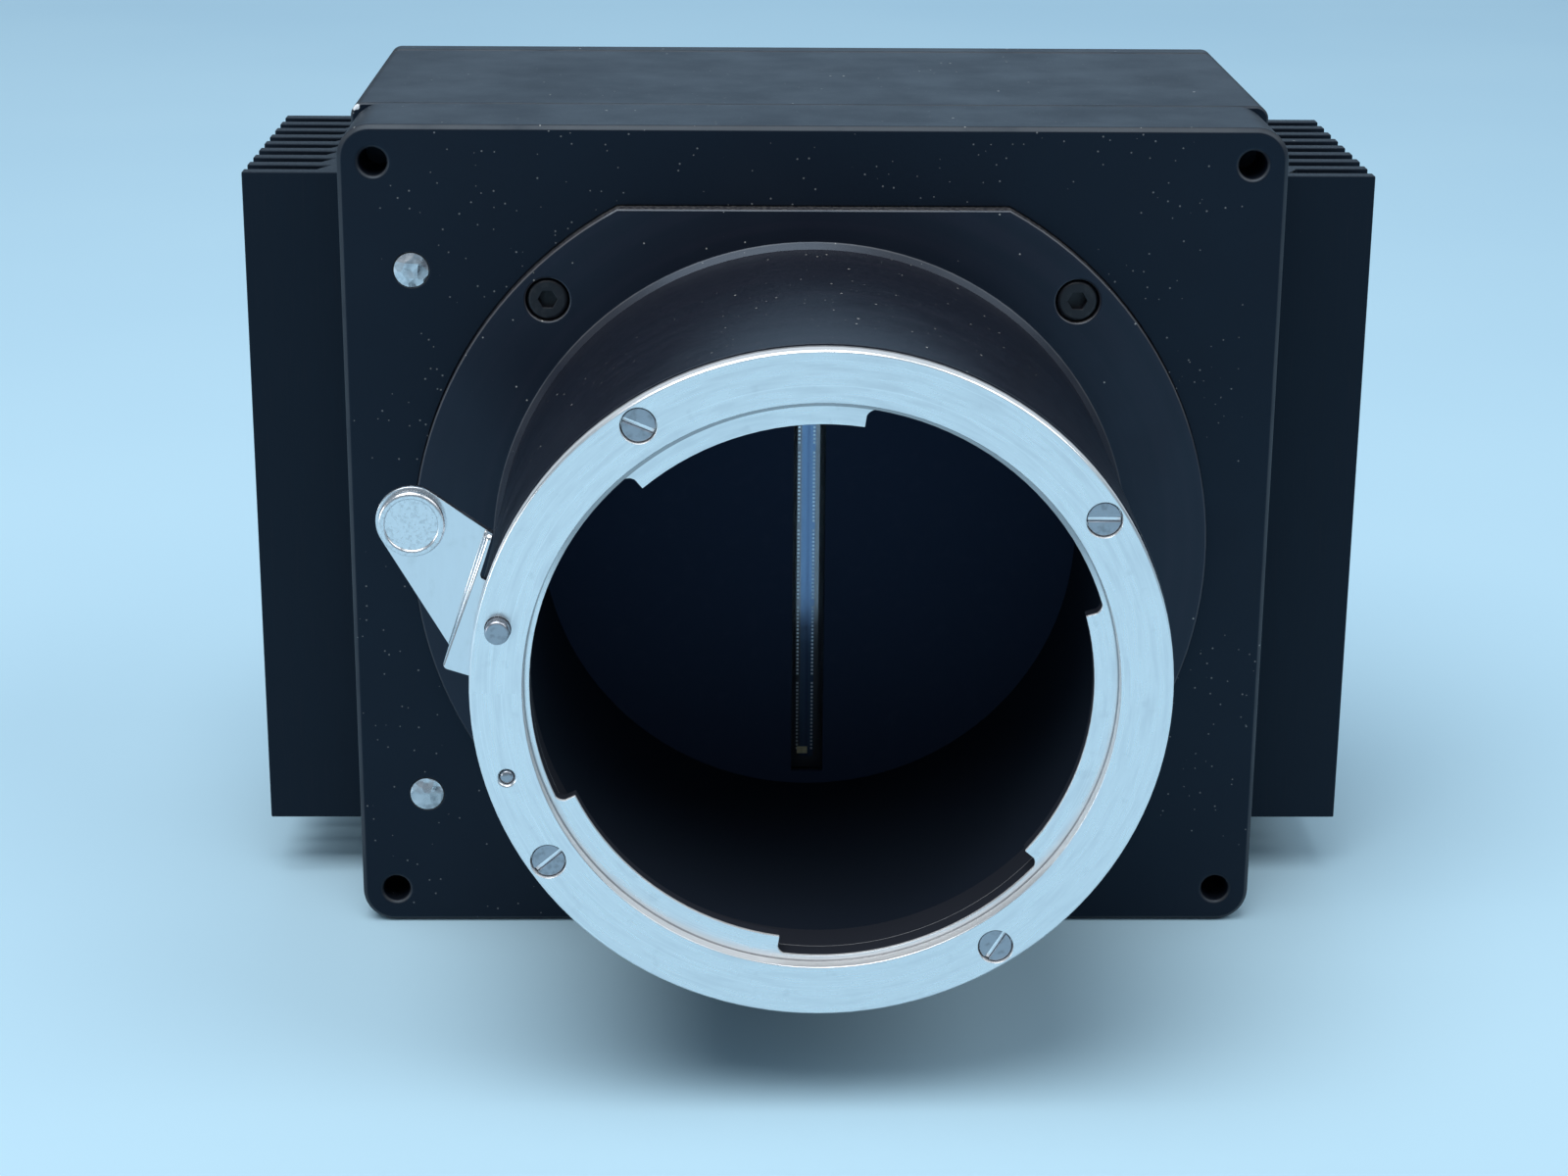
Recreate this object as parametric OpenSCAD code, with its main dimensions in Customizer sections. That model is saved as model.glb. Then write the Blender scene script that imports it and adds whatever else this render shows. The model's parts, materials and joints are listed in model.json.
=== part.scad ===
// Line-scan camera: a square black body with a finned heat sink on each side, a tube that carries a
// three-lug bayonet lens ring with its release lever, and sockets on the rear cover.
// Millimetres. The optical axis is the Y axis. The lens seats on y = 0 and light travels towards +Y.
// X is to the right and Z is up, seen from in front of the lens ring.

/* [Lens ring] */
// Inner radius of the ring between its lugs
throat_r = 23.5; // [22:0.05:25]
// Width of the ring's rim round its spigot
ring_rim = 3.45; // [3.3:0.05:5]
// Thickness of the ring's rim, in front of the tube
ring_t = 1.6; // [1.4:0.1:2.4]
// Chamfer on the ring's outer edge and the lock pin's tip
ring_edge = 0.15; // [0.1:0.05:0.2]
// Step from the throat out to the recess that centres the lens
register_step = 0.5; // [0.3:0.05:0.8]
// Depth of that recess, down to the lugs
register_depth = 1.2; // [0.8:0.1:1.4]
// Height of the lugs inside the throat
lug_h = 1.5; // [1:0.05:2]
// Thickness of the lugs
lug_t = 1.4; // [1:0.1:2]
// Fillet where a lug meets the throat
lug_fillet = 0.9; // [0.3:0.1:1.2]
// Wall thickness of the ring's spigot, inside the tube
spigot_wall = 1.3; // [1:0.05:2]
// Distance from the lens seat to the spigot's rear end
spigot_l = 7; // [6:0.5:9]
// Distance from the lens seat to the undercut in which a lens's own lugs turn
undercut_y = 3.2; // [3:0.1:4]
// Depth of that undercut
undercut = 0.25; // [0.1:0.05:0.4]
// Distance from the lens seat to the sensor
seat_to_sensor = 46.5; // [44:0.1:50]
// Distance of the ring's screws from its outer edge
ring_screw_inset = 1.75; // [1.7:0.05:2]
// Angle of the first ring screw
ring_screw_turn = 33.3; // [30:0.1:36]
// Angle of the index stud
index_angle = 195.9; // [192:0.1:199]
// Radius of the index stud
index_r = 0.6; // [0.4:0.05:0.9]

/* [Adapter tube] */
// Wall thickness of the tube
tube_wall = 3.55; // [3.2:0.05:5]
// Size of the bevel where the tube meets its flange
tube_foot = 0.6; // [0.4:0.1:1.5]
// Width of the flange round the spigot that centres it
flange_rim = 9.2; // [8.4:0.1:11]
// Depth of the flats cut off the flange's top and bottom
flat_cut = 4.45; // [3.5:0.05:5.5]
// How far the flange stands proud of the front plate
flange_proud = 1.5; // [1:0.1:2.5]
// How deep the flange sits in the front plate
flange_seat = 2; // [1.5:0.1:2.4]
// Chamfer on the flange's front edge
flange_edge = 0.15; // [0.1:0.05:0.6]
// Wall thickness of the spigot that centres the adapter in the front plate
locating_wall = 2.25; // [1.6:0.05:2.8]
// Distance of the adapter's screws from the flange's rim
adapter_screw_inset = 2.85; // [2.6:0.05:3.2]
// Radius of the round section of the dust seal under the flange
seal_r = 0.6; // [0.4:0.05:0.7]
// Distance of the dust seal's circle from that spigot
seal_inset = 2.9; // [2.2:0.1:3.2]

/* [Front plate] */
// Width of the front plate and the body
plate_w = 84.4; // [82:0.1:92]
// Height of the front plate and the body
plate_h = 76.2; // [75:0.1:84]
// Thickness of the front plate
plate_t = 12; // [11.8:0.1:15]
// Corner radius of the front plate
plate_corner = 3; // [2:0.1:4]
// Chamfer on the front plate's front edge
plate_edge = 0.4; // [0.2:0.05:1]
// Chamfer on each side of the seam between the plate and the body
seam_edge = 0.2; // [0.1:0.05:0.4]
// How far the body's centre lies above the optical axis
axis_drop = 0.9; // [0:0.1:1.2]
// Distance of the sensor behind the plate's front face
sensor_depth = 7.5; // [7.2:0.1:9]
// Distance of the corner mounting holes from the plate's sides
mount_inset_w = 3.2; // [3:0.05:3.4]
// Distance of the corner mounting holes from the plate's top and bottom
mount_inset_h = 3.3; // [3.1:0.05:3.5]
// Radius of the tapped mounting holes
mount_hole_r = 1.25; // [1:0.05:1.6]
// Depth of the tapped mounting holes
mount_hole_depth = 6; // [4:0.5:6.5]
// Radius of the two bright locating plugs
plug_r = 1.55; // [1:0.05:2]
// Length of a locating plug in the plate
plug_l = 5; // [3:0.5:8]
// How far the plugs' domed ends stand proud
plug_dome = 0.25; // [0.1:0.05:0.5]
// Distance of the plugs from the plate's side
plug_inset = 6.35; // [5:0.05:6.7]
// Height of the plugs above and below the body's centre
plug_z = 25.1; // [22:0.1:28]

/* [Body] */
// Depth of the body shell behind the front plate
shell_d = 33.2; // [33:0.1:45]
// Corner radius of the body shell and the rear cover, sharper than the plate's
shell_corner = 1.2; // [0.8:0.1:2.4]
// Wall thickness of the body shell
wall = 3; // [2.8:0.1:3.2]
// Side of the square corner posts that hold the long screws
post = 6.8; // [6.5:0.1:7]
// Thickness of the rear cover
cover_t = 3; // [2.6:0.1:5]
// Chamfer on the rear cover's outer edge
cover_edge = 0.4; // [0.2:0.1:0.6]
// Thickness of the gasket under the rear cover
gasket_t = 0.4; // [0.2:0.1:0.8]

/* [Heat sinks] */
// Number of fins on each side
fin_count = 9; // [7:1:9]
// Distance from one fin to the next
fin_pitch = 3.75; // [3.2:0.05:3.9]
// Thickness of a fin
fin_t = 1.6; // [1:0.1:2]
// Length of a fin beyond its base
fin_l = 7.25; // [4:0.05:12]
// Thickness of the heat sink's base
sink_base = 3; // [2.6:0.1:5]
// Height of the heat sinks
sink_h = 64; // [52:0.5:70]
// How far the heat sinks' centre lies below the body's
sink_drop = 0.35; // [0:0.05:1]

/* [Lens release] */
// Angle of the line along which the lever is bent
lever_angle = 162.2; // [160:0.1:164]
// Gap between the tube and the lever's riser
riser_gap = 0.4; // [0.3:0.05:1]
// Thickness of the lever's sheet
lever_t = 0.7; // [0.5:0.05:0.9]
// Step between the lever's tab and its outer plate
lever_step = 1; // [0.8:0.1:1.6]
// Start of the tab along the bend
tab_start = -0.3; // [-0.8:0.1:0.4]
// End of the tab along the bend
tab_end = 7.9; // [7.4:0.05:8.4]
// Start of the outer plate along the bend
lever_start = -4; // [-5:0.1:-3]
// End of the outer plate along the bend
lever_end = 6.4; // [5.5:0.1:7]
// Distance of the button beyond the bend
button_reach = 5.7; // [4.5:0.1:8]
// Place of the button along the bend
button_v = -2.8; // [-4:0.1:-1]
// Radius of the lever's round end
lever_end_r = 2.9; // [2.8:0.05:3.2]
// Radius of the button
button_r = 2.7; // [2.4:0.05:2.8]
// Height of the button above the lever
button_h = 0.9; // [0.6:0.05:1.4]
// Radius of the button's flat dish
dish_r = 2.1; // [1.6:0.05:2.1]
// Depth of that dish
dish_depth = 0.15; // [0.05:0.05:0.3]
// Radius of the button's rivet
rivet_r = 1; // [0.7:0.05:1.3]
// Radius of the rivet's head behind the lever
rivet_head_r = 1.6; // [1.5:0.05:2]
// Thickness of that head
rivet_head_t = 0.5; // [0.3:0.05:0.8]
// Distance of the lock pin and the index stud from the ring's spigot
pin_inset = 1.59; // [1.4:0.01:1.8]
// Angle of the lock pin
pin_angle = 168.1; // [167:0.1:169]
// Radius of the lock pin
pin_r = 1; // [0.8:0.05:1.1]
// Radius of the lock pin's stem
stem_r = 0.55; // [0.4:0.05:0.6]
// How far the lock pin stands out of the ring
pin_proud = 1.2; // [0.8:0.1:1.4]
// Travel of the lever, which draws the lock pin in
release_travel = 2; // [1.6:0.1:2.4]
// Length of the spring's hole behind the lever's slot
spring_hole_l = 7; // [5:0.5:10]
// Length of the narrow hole that guides the stem
stem_guide_l = 5; // [4:0.5:7]
// Radius of the spring's wire
wire_r = 0.13; // [0.1:0.01:0.15]
// Number of turns in the spring
spring_turns = 9; // [6:1:10]

/* [Sensor] */
// Width of the sensor chip
die_w = 2.1; // [1.6:0.1:3]
// Length of the sensor chip
die_l = 46.4; // [40:0.1:47]
// Thickness of the sensor chip
die_t = 0.5; // [0.3:0.05:0.7]
// Gap round the chip in the black mask's slit
slit_gap = 0.45; // [0.2:0.05:0.8]
// Thickness of the black mask
mask_t = 0.4; // [0.2:0.05:0.6]
// Thickness of the plate's web behind the mask
web_t = 1; // [0.6:0.1:1.2]
// Width of the sensor package's rim round its glass
package_rim = 2; // [1.5:0.1:3]
// Thickness of the sensor package under the chip
package_floor = 2; // [1.5:0.1:2.5]
// Gap round the chip in the sensor package's hollow
hollow_gap = 1.3; // [0.8:0.1:2]
// Depth of the chip's face under the glass
glass_gap = 0.5; // [0.3:0.05:0.7]
// Thickness of the sensor's cover glass
glass_t = 0.6; // [0.4:0.05:0.8]
// Width of the cover glass's seat round the hollow
glass_lap = 3.4; // [2.6:0.1:4]
// Thickness of the foam frame between the glass and the plate
foam_t = 0.4; // [0.2:0.05:0.6]
// Width of the foam frame's border
foam_border = 1.6; // [1:0.1:2]

/* [Circuit boards] */
// Gap between the circuit boards and the body's side walls
board_gap_w = 4.7; // [4.2:0.1:6]
// Gap between the circuit boards and the body's top and bottom walls
board_gap_h = 4.85; // [4.6:0.05:6]
// Thickness of the circuit boards
board_t = 1.6; // [1:0.1:2]
// Distance of the stand-offs from the boards' sides
standoff_inset_w = 4; // [3.6:0.1:5]
// Distance of the stand-offs from the boards' top and bottom
standoff_inset_h = 4.25; // [3.6:0.05:5]
// Radius of the hexagonal stand-offs, to their corners
standoff_r = 2.6; // [2.4:0.1:3]
// Radius of the stand-offs' threaded ends
stud_r = 1; // [0.8:0.05:1.25]
// Length of the stand-offs' threaded ends past the board
stud_l = 3; // [2:0.5:3.5]
// Length of the stand-offs between the sensor board and the processor board
front_standoff_l = 8; // [6:0.5:9]
// Length of the stand-offs between the processor board and the socket board
rear_standoff_l = 11; // [10:0.5:11.5]
// Side of the processor chip
chip_w = 23; // [15:0.5:30]
// Thickness of the processor chip
chip_t = 2; // [1:0.1:2.5]
// Thickness of the soft pad between the chip and the heat bridge
pad_t = 1; // [0.5:0.1:1.5]
// Thickness of the heat bridge's web
bridge_t = 3; // [2:0.1:3.5]
// Thickness of the heat bridge's side plates
bridge_side_t = 2; // [1.5:0.1:2.4]
// Depth of the heat bridge's side plates
bridge_d = 26; // [24:0.5:30]
// Gap between the heat bridge and the stand-offs
bridge_gap = 1.4; // [0.5:0.1:3]
// Width of the connectors between the boards
link_w = 30; // [20:0.5:40]
// Height of the connectors between the boards
link_h = 4; // [3:0.5:4.5]
// Distance of those connectors from the boards' bottom edge
link_inset = 3.75; // [2.5:0.05:5]
// Side of the power coils on the socket board
coil_w = 7; // [5:0.5:8]
// Height of the power coils
coil_t = 3.5; // [2:0.1:4]
// Number of power coils
coil_count = 3; // [2:1:3]
// Distance from one power coil to the next
coil_pitch = 11; // [9:0.5:12]
// Distance of the power coils from the socket board's top edge
coil_inset = 4.25; // [4:0.05:6]

/* [Rear sockets] */
// Width of a data socket's shell
data_w = 25.6; // [22:0.1:27]
// Height of a data socket's shell
data_h = 7.6; // [6.5:0.1:9]
// Corner radius of a data socket's shell
data_corner = 2; // [1:0.1:3]
// Wall thickness of a data socket's shell
data_wall = 0.6; // [0.4:0.05:0.9]
// How far the data sockets stand out of the rear cover
data_proud = 4; // [3:0.1:6]
// Width of the data sockets' flange behind the rear cover
data_flange_w = 40; // [39:0.5:42]
// Height of that flange
data_flange_h = 10; // [9.6:0.1:12]
// Thickness of that flange
data_flange_t = 1; // [0.6:0.1:1.5]
// Distance of the data sockets from the centre line
data_x = 9; // [7:0.5:11]
// Height of the data sockets above and below the body's centre
data_z = 13; // [10:0.5:16]
// How far the sockets' inner faces stand out of the rear cover
insert_proud = 1; // [0.5:0.1:2]
// How far the tongues and contacts lie inside their shells
contact_setback = 1; // [0.5:0.1:1.5]
// Width of a data socket's tongue
tongue_w = 21; // [17:0.5:22]
// Thickness of a data socket's tongue
tongue_t = 2.2; // [1.6:0.1:2.6]
// Number of contacts along one side of a tongue
contact_count = 13; // [8:1:14]
// Distance from one contact to the next
contact_pitch = 1.27; // [1:0.01:1.4]
// Spacing of the jack screws beside a data socket
jack_spacing = 33.4; // [32:0.1:34]
// Radius of the jack screws' hexagon, to its corners
jack_r = 2.7; // [2.4:0.1:3]
// Radius of the jack screws' threaded ends
jack_stud_r = 1.25; // [1:0.05:1.5]
// Radius of the thread in the jack screws' outer end
jack_bore_r = 1.05; // [0.8:0.05:1.25]
// Outer radius of the power socket's barrel
power_r = 5; // [4.6:0.1:5.6]
// Wall thickness of the power socket's barrel
power_wall = 0.9; // [0.6:0.05:1.1]
// Radius of the power socket's flange
power_flange_r = 7; // [6.5:0.1:8]
// Thickness of the power socket's flange
power_flange_t = 1.5; // [1:0.1:2]
// How far the power socket stands out of the rear cover
power_proud = 4.5; // [4:0.1:7]
// Distance of the power socket and the status light from the body's side
power_inset = 16.2; // [15:0.1:17]
// Height of the power socket above the body's centre
power_z = 11; // [8:0.5:16]
// Thickness of the nut behind the power socket
nut_t = 2.5; // [2:0.1:3]
// Length of the power socket's thread past its nut
nut_thread = 1; // [0.5:0.1:2]
// Radius of that nut's hexagon, to its corners
nut_r = 7.5; // [7:0.1:8]
// Radius of the circle that the power contacts lie on
power_pin_circle = 2.4; // [2:0.1:2.7]
// Radius of a power contact
power_pin_r = 0.45; // [0.3:0.05:0.6]
// Number of power contacts
power_pin_count = 6; // [4:1:6]
// Height of the status light below the body's centre
light_z = 13; // [8:0.5:18]
// Radius of the status light
light_r = 1.5; // [1:0.1:2.5]
// How far the status light stands out of the rear cover
light_proud = 0.6; // [0.3:0.1:1]

/* [Screws and fits] */
// Radius of the lens ring screws' heads
ring_head_r = 1.35; // [1.2:0.05:1.4]
// Thickness of the lens ring screws' heads
ring_head_t = 0.8; // [0.6:0.05:0.9]
// Depth of those heads under the ring's face
ring_head_sink = 0.25; // [0.15:0.05:0.4]
// Radius of the lens ring screws' shanks
ring_shank_r = 0.7; // [0.5:0.05:0.8]
// Width of the slot in the lens ring screws
slot_w = 0.35; // [0.2:0.05:0.5]
// Depth of that slot
slot_depth = 0.3; // [0.2:0.05:0.4]
// Radius of the adapter screws' heads
cap_head_r = 1.85; // [1.7:0.05:1.9]
// Height of the adapter screws' heads
cap_head_t = 1.9; // [1.5:0.1:2]
// Depth of those heads under the flange's face
cap_head_sink = 0.2; // [0:0.05:0.3]
// Radius of the adapter screws' shanks
cap_shank_r = 1; // [0.8:0.05:1.1]
// Radius of the hexagonal socket in the adapter screws, to its corners
cap_socket_r = 0.87; // [0.7:0.01:1]
// Depth of that socket
cap_socket_depth = 1; // [0.6:0.1:1.2]
// Radius of the long body screws' heads
long_head_r = 2.25; // [2.1:0.05:2.4]
// Height of the long body screws' heads
long_head_t = 1.4; // [1.2:0.1:1.6]
// Radius of the long body screws' shanks
long_shank_r = 1.45; // [1.2:0.05:1.5]
// Radius of the hexagonal socket in the long body screws, to its corners
long_socket_r = 1.15; // [1:0.05:1.4]
// Depth of that socket
long_socket_depth = 0.8; // [0.5:0.1:1]
// Radius of the heat sink screws' heads
sink_head_r = 2.6; // [2.2:0.1:2.8]
// Height of the heat sink screws' heads
sink_head_t = 1.2; // [0.8:0.1:1.4]
// Radius of the heat sink screws' shanks
sink_shank_r = 1.5; // [1.25:0.05:1.6]
// Radius of the board screws' heads
board_head_r = 2; // [1.7:0.1:2.4]
// Height of the board screws' heads
board_head_t = 1.3; // [1:0.1:1.6]
// Depth of a tapped hole for a screw
thread_depth = 4.5; // [3:0.1:4.6]
// Gap between a screw's tip and the bottom of its hole
tip_gap = 1; // [0.4:0.1:1.5]
// Thickness left under a heat sink screw's hole
sink_skin = 0.4; // [0.2:0.1:0.8]
// Gap between a screw and its tapped hole
thread_fit = 0.05; // [0.02:0.01:0.1]
// Gap between a screw and the hole that it passes through
pass_fit = 0.15; // [0.1:0.05:0.3]
// Gap around a screw's head in its counterbore
head_fit = 0.12; // [0.08:0.01:0.14]
// Gap between pieces that slide into one another
slip_fit = 0.05; // [0.02:0.01:0.1]
// Gap around pieces that move past one another
move_gap = 0.3; // [0.2:0.05:0.4]

/* [Hidden] */
$fn = 64;
// Overlap of a cut past the face that it opens
over = 1;
// Overlap of two shapes that are joined into one
bond = 0.2;
// Angular spans of the three lens lugs, from the photographed ring
lug_spans = [[81.7, 130.5], [-40, 16.2], [205, 261.5]];
// Turn of each lens ring screw's slot
slot_turns = [0, -22, 40, 58];
// Turn of the key in the power socket's contact ring
power_key_turn = 90;
// Sides of a hexagon
hex = 6;
// Rings of points per turn of the spring, and sides of its wire
coil_steps = 8;
coil_sides = 6;

// Radii of the ring, the tube and the flange, from the throat outwards
lug_r = throat_r - lug_h;
register_r = throat_r + register_step;
spigot_r = throat_r + spigot_wall;
ring_r = spigot_r + ring_rim;
ring_screw_circle = ring_r - ring_screw_inset;
pin_circle = spigot_r + pin_inset;
bore_r = spigot_r + slip_fit;
tube_r = bore_r + tube_wall;
locating_r = bore_r + locating_wall;
seal_circle = locating_r + seal_inset;
flange_r = locating_r + flange_rim;
flange_flat = flange_r - flat_cut;
adapter_screw_circle = flange_r - adapter_screw_inset;

// Places along the optical axis, from the lens seat to the rear
plate_y = seat_to_sensor - sensor_depth;
flange_y = plate_y - flange_proud;
seat_y = plate_y + flange_seat;
glass_y = seat_to_sensor - glass_gap - glass_t;
web_y = glass_y - foam_t - web_t;
locating_y = web_y - mask_t - slip_fit;
package_y = glass_y + glass_t;
sensor_board_y = seat_to_sensor + die_t + package_floor;
plate_rear = plate_y + plate_t;
processor_y = sensor_board_y + board_t + front_standoff_l;
chip_y = processor_y + board_t;
bridge_y = chip_y + chip_t + pad_t;
socket_board_y = chip_y + rear_standoff_l;
socket_y = socket_board_y + board_t;
shell_rear = plate_rear + shell_d;
cover_y = shell_rear + gasket_t;
cover_rear = cover_y + cover_t;
insert_rear = cover_rear + insert_proud;
barrel_y = cover_y - nut_t - nut_thread;
contact_l = data_proud - insert_proud - contact_setback;

// Sizes across the body
inner_w = plate_w - 2 * wall;
inner_h = plate_h - 2 * wall;
board_w = inner_w - 2 * board_gap_w;
board_h = inner_h - 2 * board_gap_h;
standoff_w = board_w - 2 * standoff_inset_w;
standoff_h = board_h - 2 * standoff_inset_h;
sink_d = (fin_count - 1) * fin_pitch + fin_t;
bridge_h = standoff_h - 2 * standoff_r - 2 * bridge_gap;
bridge_side_y = plate_rear + move_gap;
sink_screw_y = [(bridge_side_y + bridge_y) / 2, (bridge_y + bridge_t + bridge_side_y + bridge_d) / 2];
sink_screw_z = bridge_h / 2 - 2 * sink_head_r;
sink_hole_l = sink_base - sink_skin;
sink_screw_l = bridge_side_t + wall + sink_hole_l - move_gap;

// Sizes of the sensor's nest, from the chip outwards
slit = [die_w + 2 * slit_gap, die_l + 2 * slit_gap];
hollow = [die_w + 2 * hollow_gap, die_l + 2 * hollow_gap];
glass = [hollow[0] + 2 * glass_lap, hollow[1] + 2 * glass_lap];
window = [glass[0] - 2 * foam_border, glass[1] - 2 * foam_border];
package = [glass[0] + 2 * package_rim, glass[1] + 2 * package_rim];

// The release lever's levels and its slot in the tube
bend_u = tube_r + riser_gap + lever_t;
button_u = bend_u + button_reach;
tab_y = ring_t + move_gap;
lever_y = tab_y + lever_step;
tab_in = pin_circle - pin_r - slip_fit;
slot_rear = tab_y + lever_t + release_travel + move_gap;
spring_hole_r = pin_r + 3 * slip_fit;
spring_y = tab_y + lever_t;
spring_rear = slot_rear + spring_hole_l;
spring_mean_r = (stem_r + spring_hole_r) / 2;
stem_rear = spring_rear + stem_guide_l - release_travel - move_gap;

function polar(r, a) = [r * cos(a), r * sin(a)];

// Point where a line from p touches a circle round c, on the given side
function tangent(p, c, r, side) =
    let (d = p - c, a = atan2(d[1], d[0]) + side * acos(r / norm(d)))
    c + polar(r, a);

function corners(w, h) = [for (x = [-w / 2, w / 2], z = [-h / 2, h / 2]) [x, z]];

ring_screw_places = [for (i = [0:3]) polar(ring_screw_circle, ring_screw_turn + 90 * i)];
adapter_screw_places = [for (i = [0:3]) polar(adapter_screw_circle, 45 + 90 * i)];
standoff_places = corners(standoff_w, standoff_h);
corner_places = [for (p = corners(plate_w - 2 * mount_inset_w, plate_h - 2 * mount_inset_h))
    p + [0, axis_drop]];
plug_places = [for (s = [-1, 1]) [plug_inset - plate_w / 2, axis_drop + s * plug_z]];
data_places = [for (s = [-1, 1]) [data_x, axis_drop + s * data_z]];
jack_places = [for (p = data_places, s = [-1, 1]) p + [s * jack_spacing / 2, 0]];
power_place = [power_inset - plate_w / 2, axis_drop + power_z];
light_place = [power_inset - plate_w / 2, axis_drop - light_z];
pin_place = polar(pin_circle, pin_angle);
index_place = polar(pin_circle, index_angle);

// Puts its children at places in the X-Z plane
module at_places(places) {
    for (p = places) translate([p[0], 0, p[1]]) children();
}

// Round bar along Y
module rod(r, y, l, sides = $fn) {
    translate([0, y, 0]) rotate([-90, 0, 0]) cylinder(r = r, h = l, $fn = sides);
}

// X-Z outline given a thickness along Y
module slab(y, t) {
    translate([0, y + t, 0]) rotate([90, 0, 0]) linear_extrude(t) children();
}

// Outline of radius and y, turned round the optical axis
module turned() {
    rotate([-90, 0, 0]) rotate_extrude() children();
}

// Block centred on the optical axis in X and Z
module block(w, h, y, t) {
    translate([-w / 2, y, -h / 2]) cube([w, t, h]);
}

module rounded_rect(w, h, r) {
    square([w - 2 * r, h], center = true);
    square([w, h - 2 * r], center = true);
    for (p = corners(w - 2 * r, h - 2 * r)) translate(p) circle(r);
}

// Section of the body's outline, with its front and rear chamfers
function edge_section(s, t, front, rear) =
    [[s - front, 0], [s, front], [s, t - rear], [s - rear, t]];

function mirrored(points) = [for (i = [len(points) - 1:-1:0]) [-points[i][0], points[i][1]]];

// Block with the body's outline and chamfered edges
module body_block(y, t, r, front, rear) {
    side = edge_section(plate_w / 2, t, front, rear);
    top = edge_section(plate_h / 2, t, front, rear);
    translate([0, y, axis_drop]) {
        translate([0, 0, r - plate_h / 2]) linear_extrude(plate_h - 2 * r)
            polygon(concat(side, mirrored(side)));
        translate([r - plate_w / 2, 0, 0]) rotate([0, 90, 0]) linear_extrude(plate_w - 2 * r)
            polygon(concat(top, mirrored(top)));
        at_places(corners(plate_w - 2 * r, plate_h - 2 * r)) turned()
            polygon(concat([[0, 0]], edge_section(r, t, front, rear), [[0, t]]));
    }
}

// Part of a flat ring between two angles
module sector(r_in, r_out, from, to) {
    intersection() {
        difference() {
            circle(r_out);
            circle(r_in);
        }
        polygon([[0, 0], polar(2 * r_out, from), polar(2 * r_out, (from + to) / 2), polar(2 * r_out, to)]);
    }
}

// One lens lug, with a fillet at each end that runs just past the two faces it joins
module lug(span) {
    r = min(lug_fillet, throat_r - lug_r);
    foot_r = throat_r - r + slip_fit;
    turn = (r - slip_fit) / foot_r * 180 / PI;
    sector(lug_r, throat_r + bond, span[0], span[1]);
    for (end = [[span[0] - turn, span[0], span[0] - turn], [span[1], span[1] + turn, span[1] + turn]])
        difference() {
            sector(foot_r, throat_r + bond, end[0], end[1]);
            translate(polar(foot_r, end[2])) circle(r);
        }
}

module bayonet_ring() {
    color("silver") difference() {
        union() {
            turned() polygon([[throat_r, register_depth], [register_r, register_depth],
                [register_r, 0], [ring_r - ring_edge, 0], [ring_r, ring_edge], [ring_r, ring_t],
                [spigot_r, ring_t], [spigot_r, spigot_l], [throat_r + undercut, spigot_l],
                [throat_r + undercut, undercut_y], [throat_r, undercut_y]]);
            for (span = lug_spans) slab(register_depth, lug_t) lug(span);
        }
        at_places(ring_screw_places) {
            rod(ring_head_r + head_fit, -over, over + ring_head_sink + ring_head_t);
            rod(ring_shank_r + pass_fit, -over, ring_t + 2 * over);
        }
        at_places([pin_place]) rod(pin_r + slip_fit, -over, ring_t + 2 * over);
        at_places([index_place]) rod(index_r + slip_fit, -over, ring_t + 2 * over);
    }
}

module bayonet_screws() {
    head_rear = ring_head_sink + ring_head_t;
    color("lightsteelblue") for (i = [0:3]) at_places([ring_screw_places[i]]) difference() {
        union() {
            rod(ring_head_r, ring_head_sink, ring_head_t);
            rod(ring_shank_r, head_rear - bond, bond + ring_t - head_rear + thread_depth - tip_gap);
        }
        rotate([0, -slot_turns[i], 0])
            block(4 * ring_head_r, slot_w, ring_head_sink - over, over + slot_depth);
    }
}

module index_stud() {
    color("gainsboro") at_places([index_place]) rod(index_r, slip_fit, ring_t + plug_dome);
}

module lens_adapter() {
    foot = tube_r + tube_foot;
    flat = flange_flat;
    color("#15161a") difference() {
        union() {
            turned() polygon([[bore_r, ring_t], [tube_r, ring_t], [tube_r, flange_y - tube_foot],
                [foot, flange_y], [foot, flange_y + bond], [bore_r, flange_y + bond]]);
            intersection() {
                turned() polygon([[bore_r, flange_y], [flange_r - flange_edge, flange_y],
                    [flange_r, flange_y + flange_edge], [flange_r, seat_y], [locating_r, seat_y],
                    [locating_r, locating_y], [bore_r, locating_y]]);
                translate([-flange_r - over, 0, 0]) rotate([90, 0, 90])
                    linear_extrude(2 * flange_r + 2 * over)
                    polygon([[flange_y, flange_edge - flat], [flange_y, flat - flange_edge],
                        [flange_y + flange_edge, flat], [locating_y + over, flat],
                        [locating_y + over, -flat], [flange_y + flange_edge, -flat]]);
            }
        }
        at_places(adapter_screw_places) {
            rod(cap_head_r + head_fit, flange_y - over, over + cap_head_sink + cap_head_t);
            rod(cap_shank_r + pass_fit, flange_y - over, flange_proud + flange_seat + 2 * over);
        }
        at_places(ring_screw_places) rod(ring_shank_r + thread_fit, ring_t - over, over + thread_depth);
        at_places([index_place]) rod(index_r + slip_fit, ring_t - over, over + plug_dome + slip_fit);
        slab(ring_t - over, slot_rear - ring_t + over) rotate(lever_angle)
            translate([bore_r - over, tab_start - move_gap])
            square([tube_r - bore_r + 2 * over, tab_end - tab_start + 2 * move_gap]);
        at_places([pin_place]) {
            rod(spring_hole_r, slot_rear - over, over + spring_hole_l);
            rod(stem_r + slip_fit, spring_rear - over, over + stem_guide_l);
        }
    }
}

module adapter_seal() {
    color("#222222") turned() translate([seal_circle, seat_y + seal_r]) circle(seal_r - slip_fit / 2);
}

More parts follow.
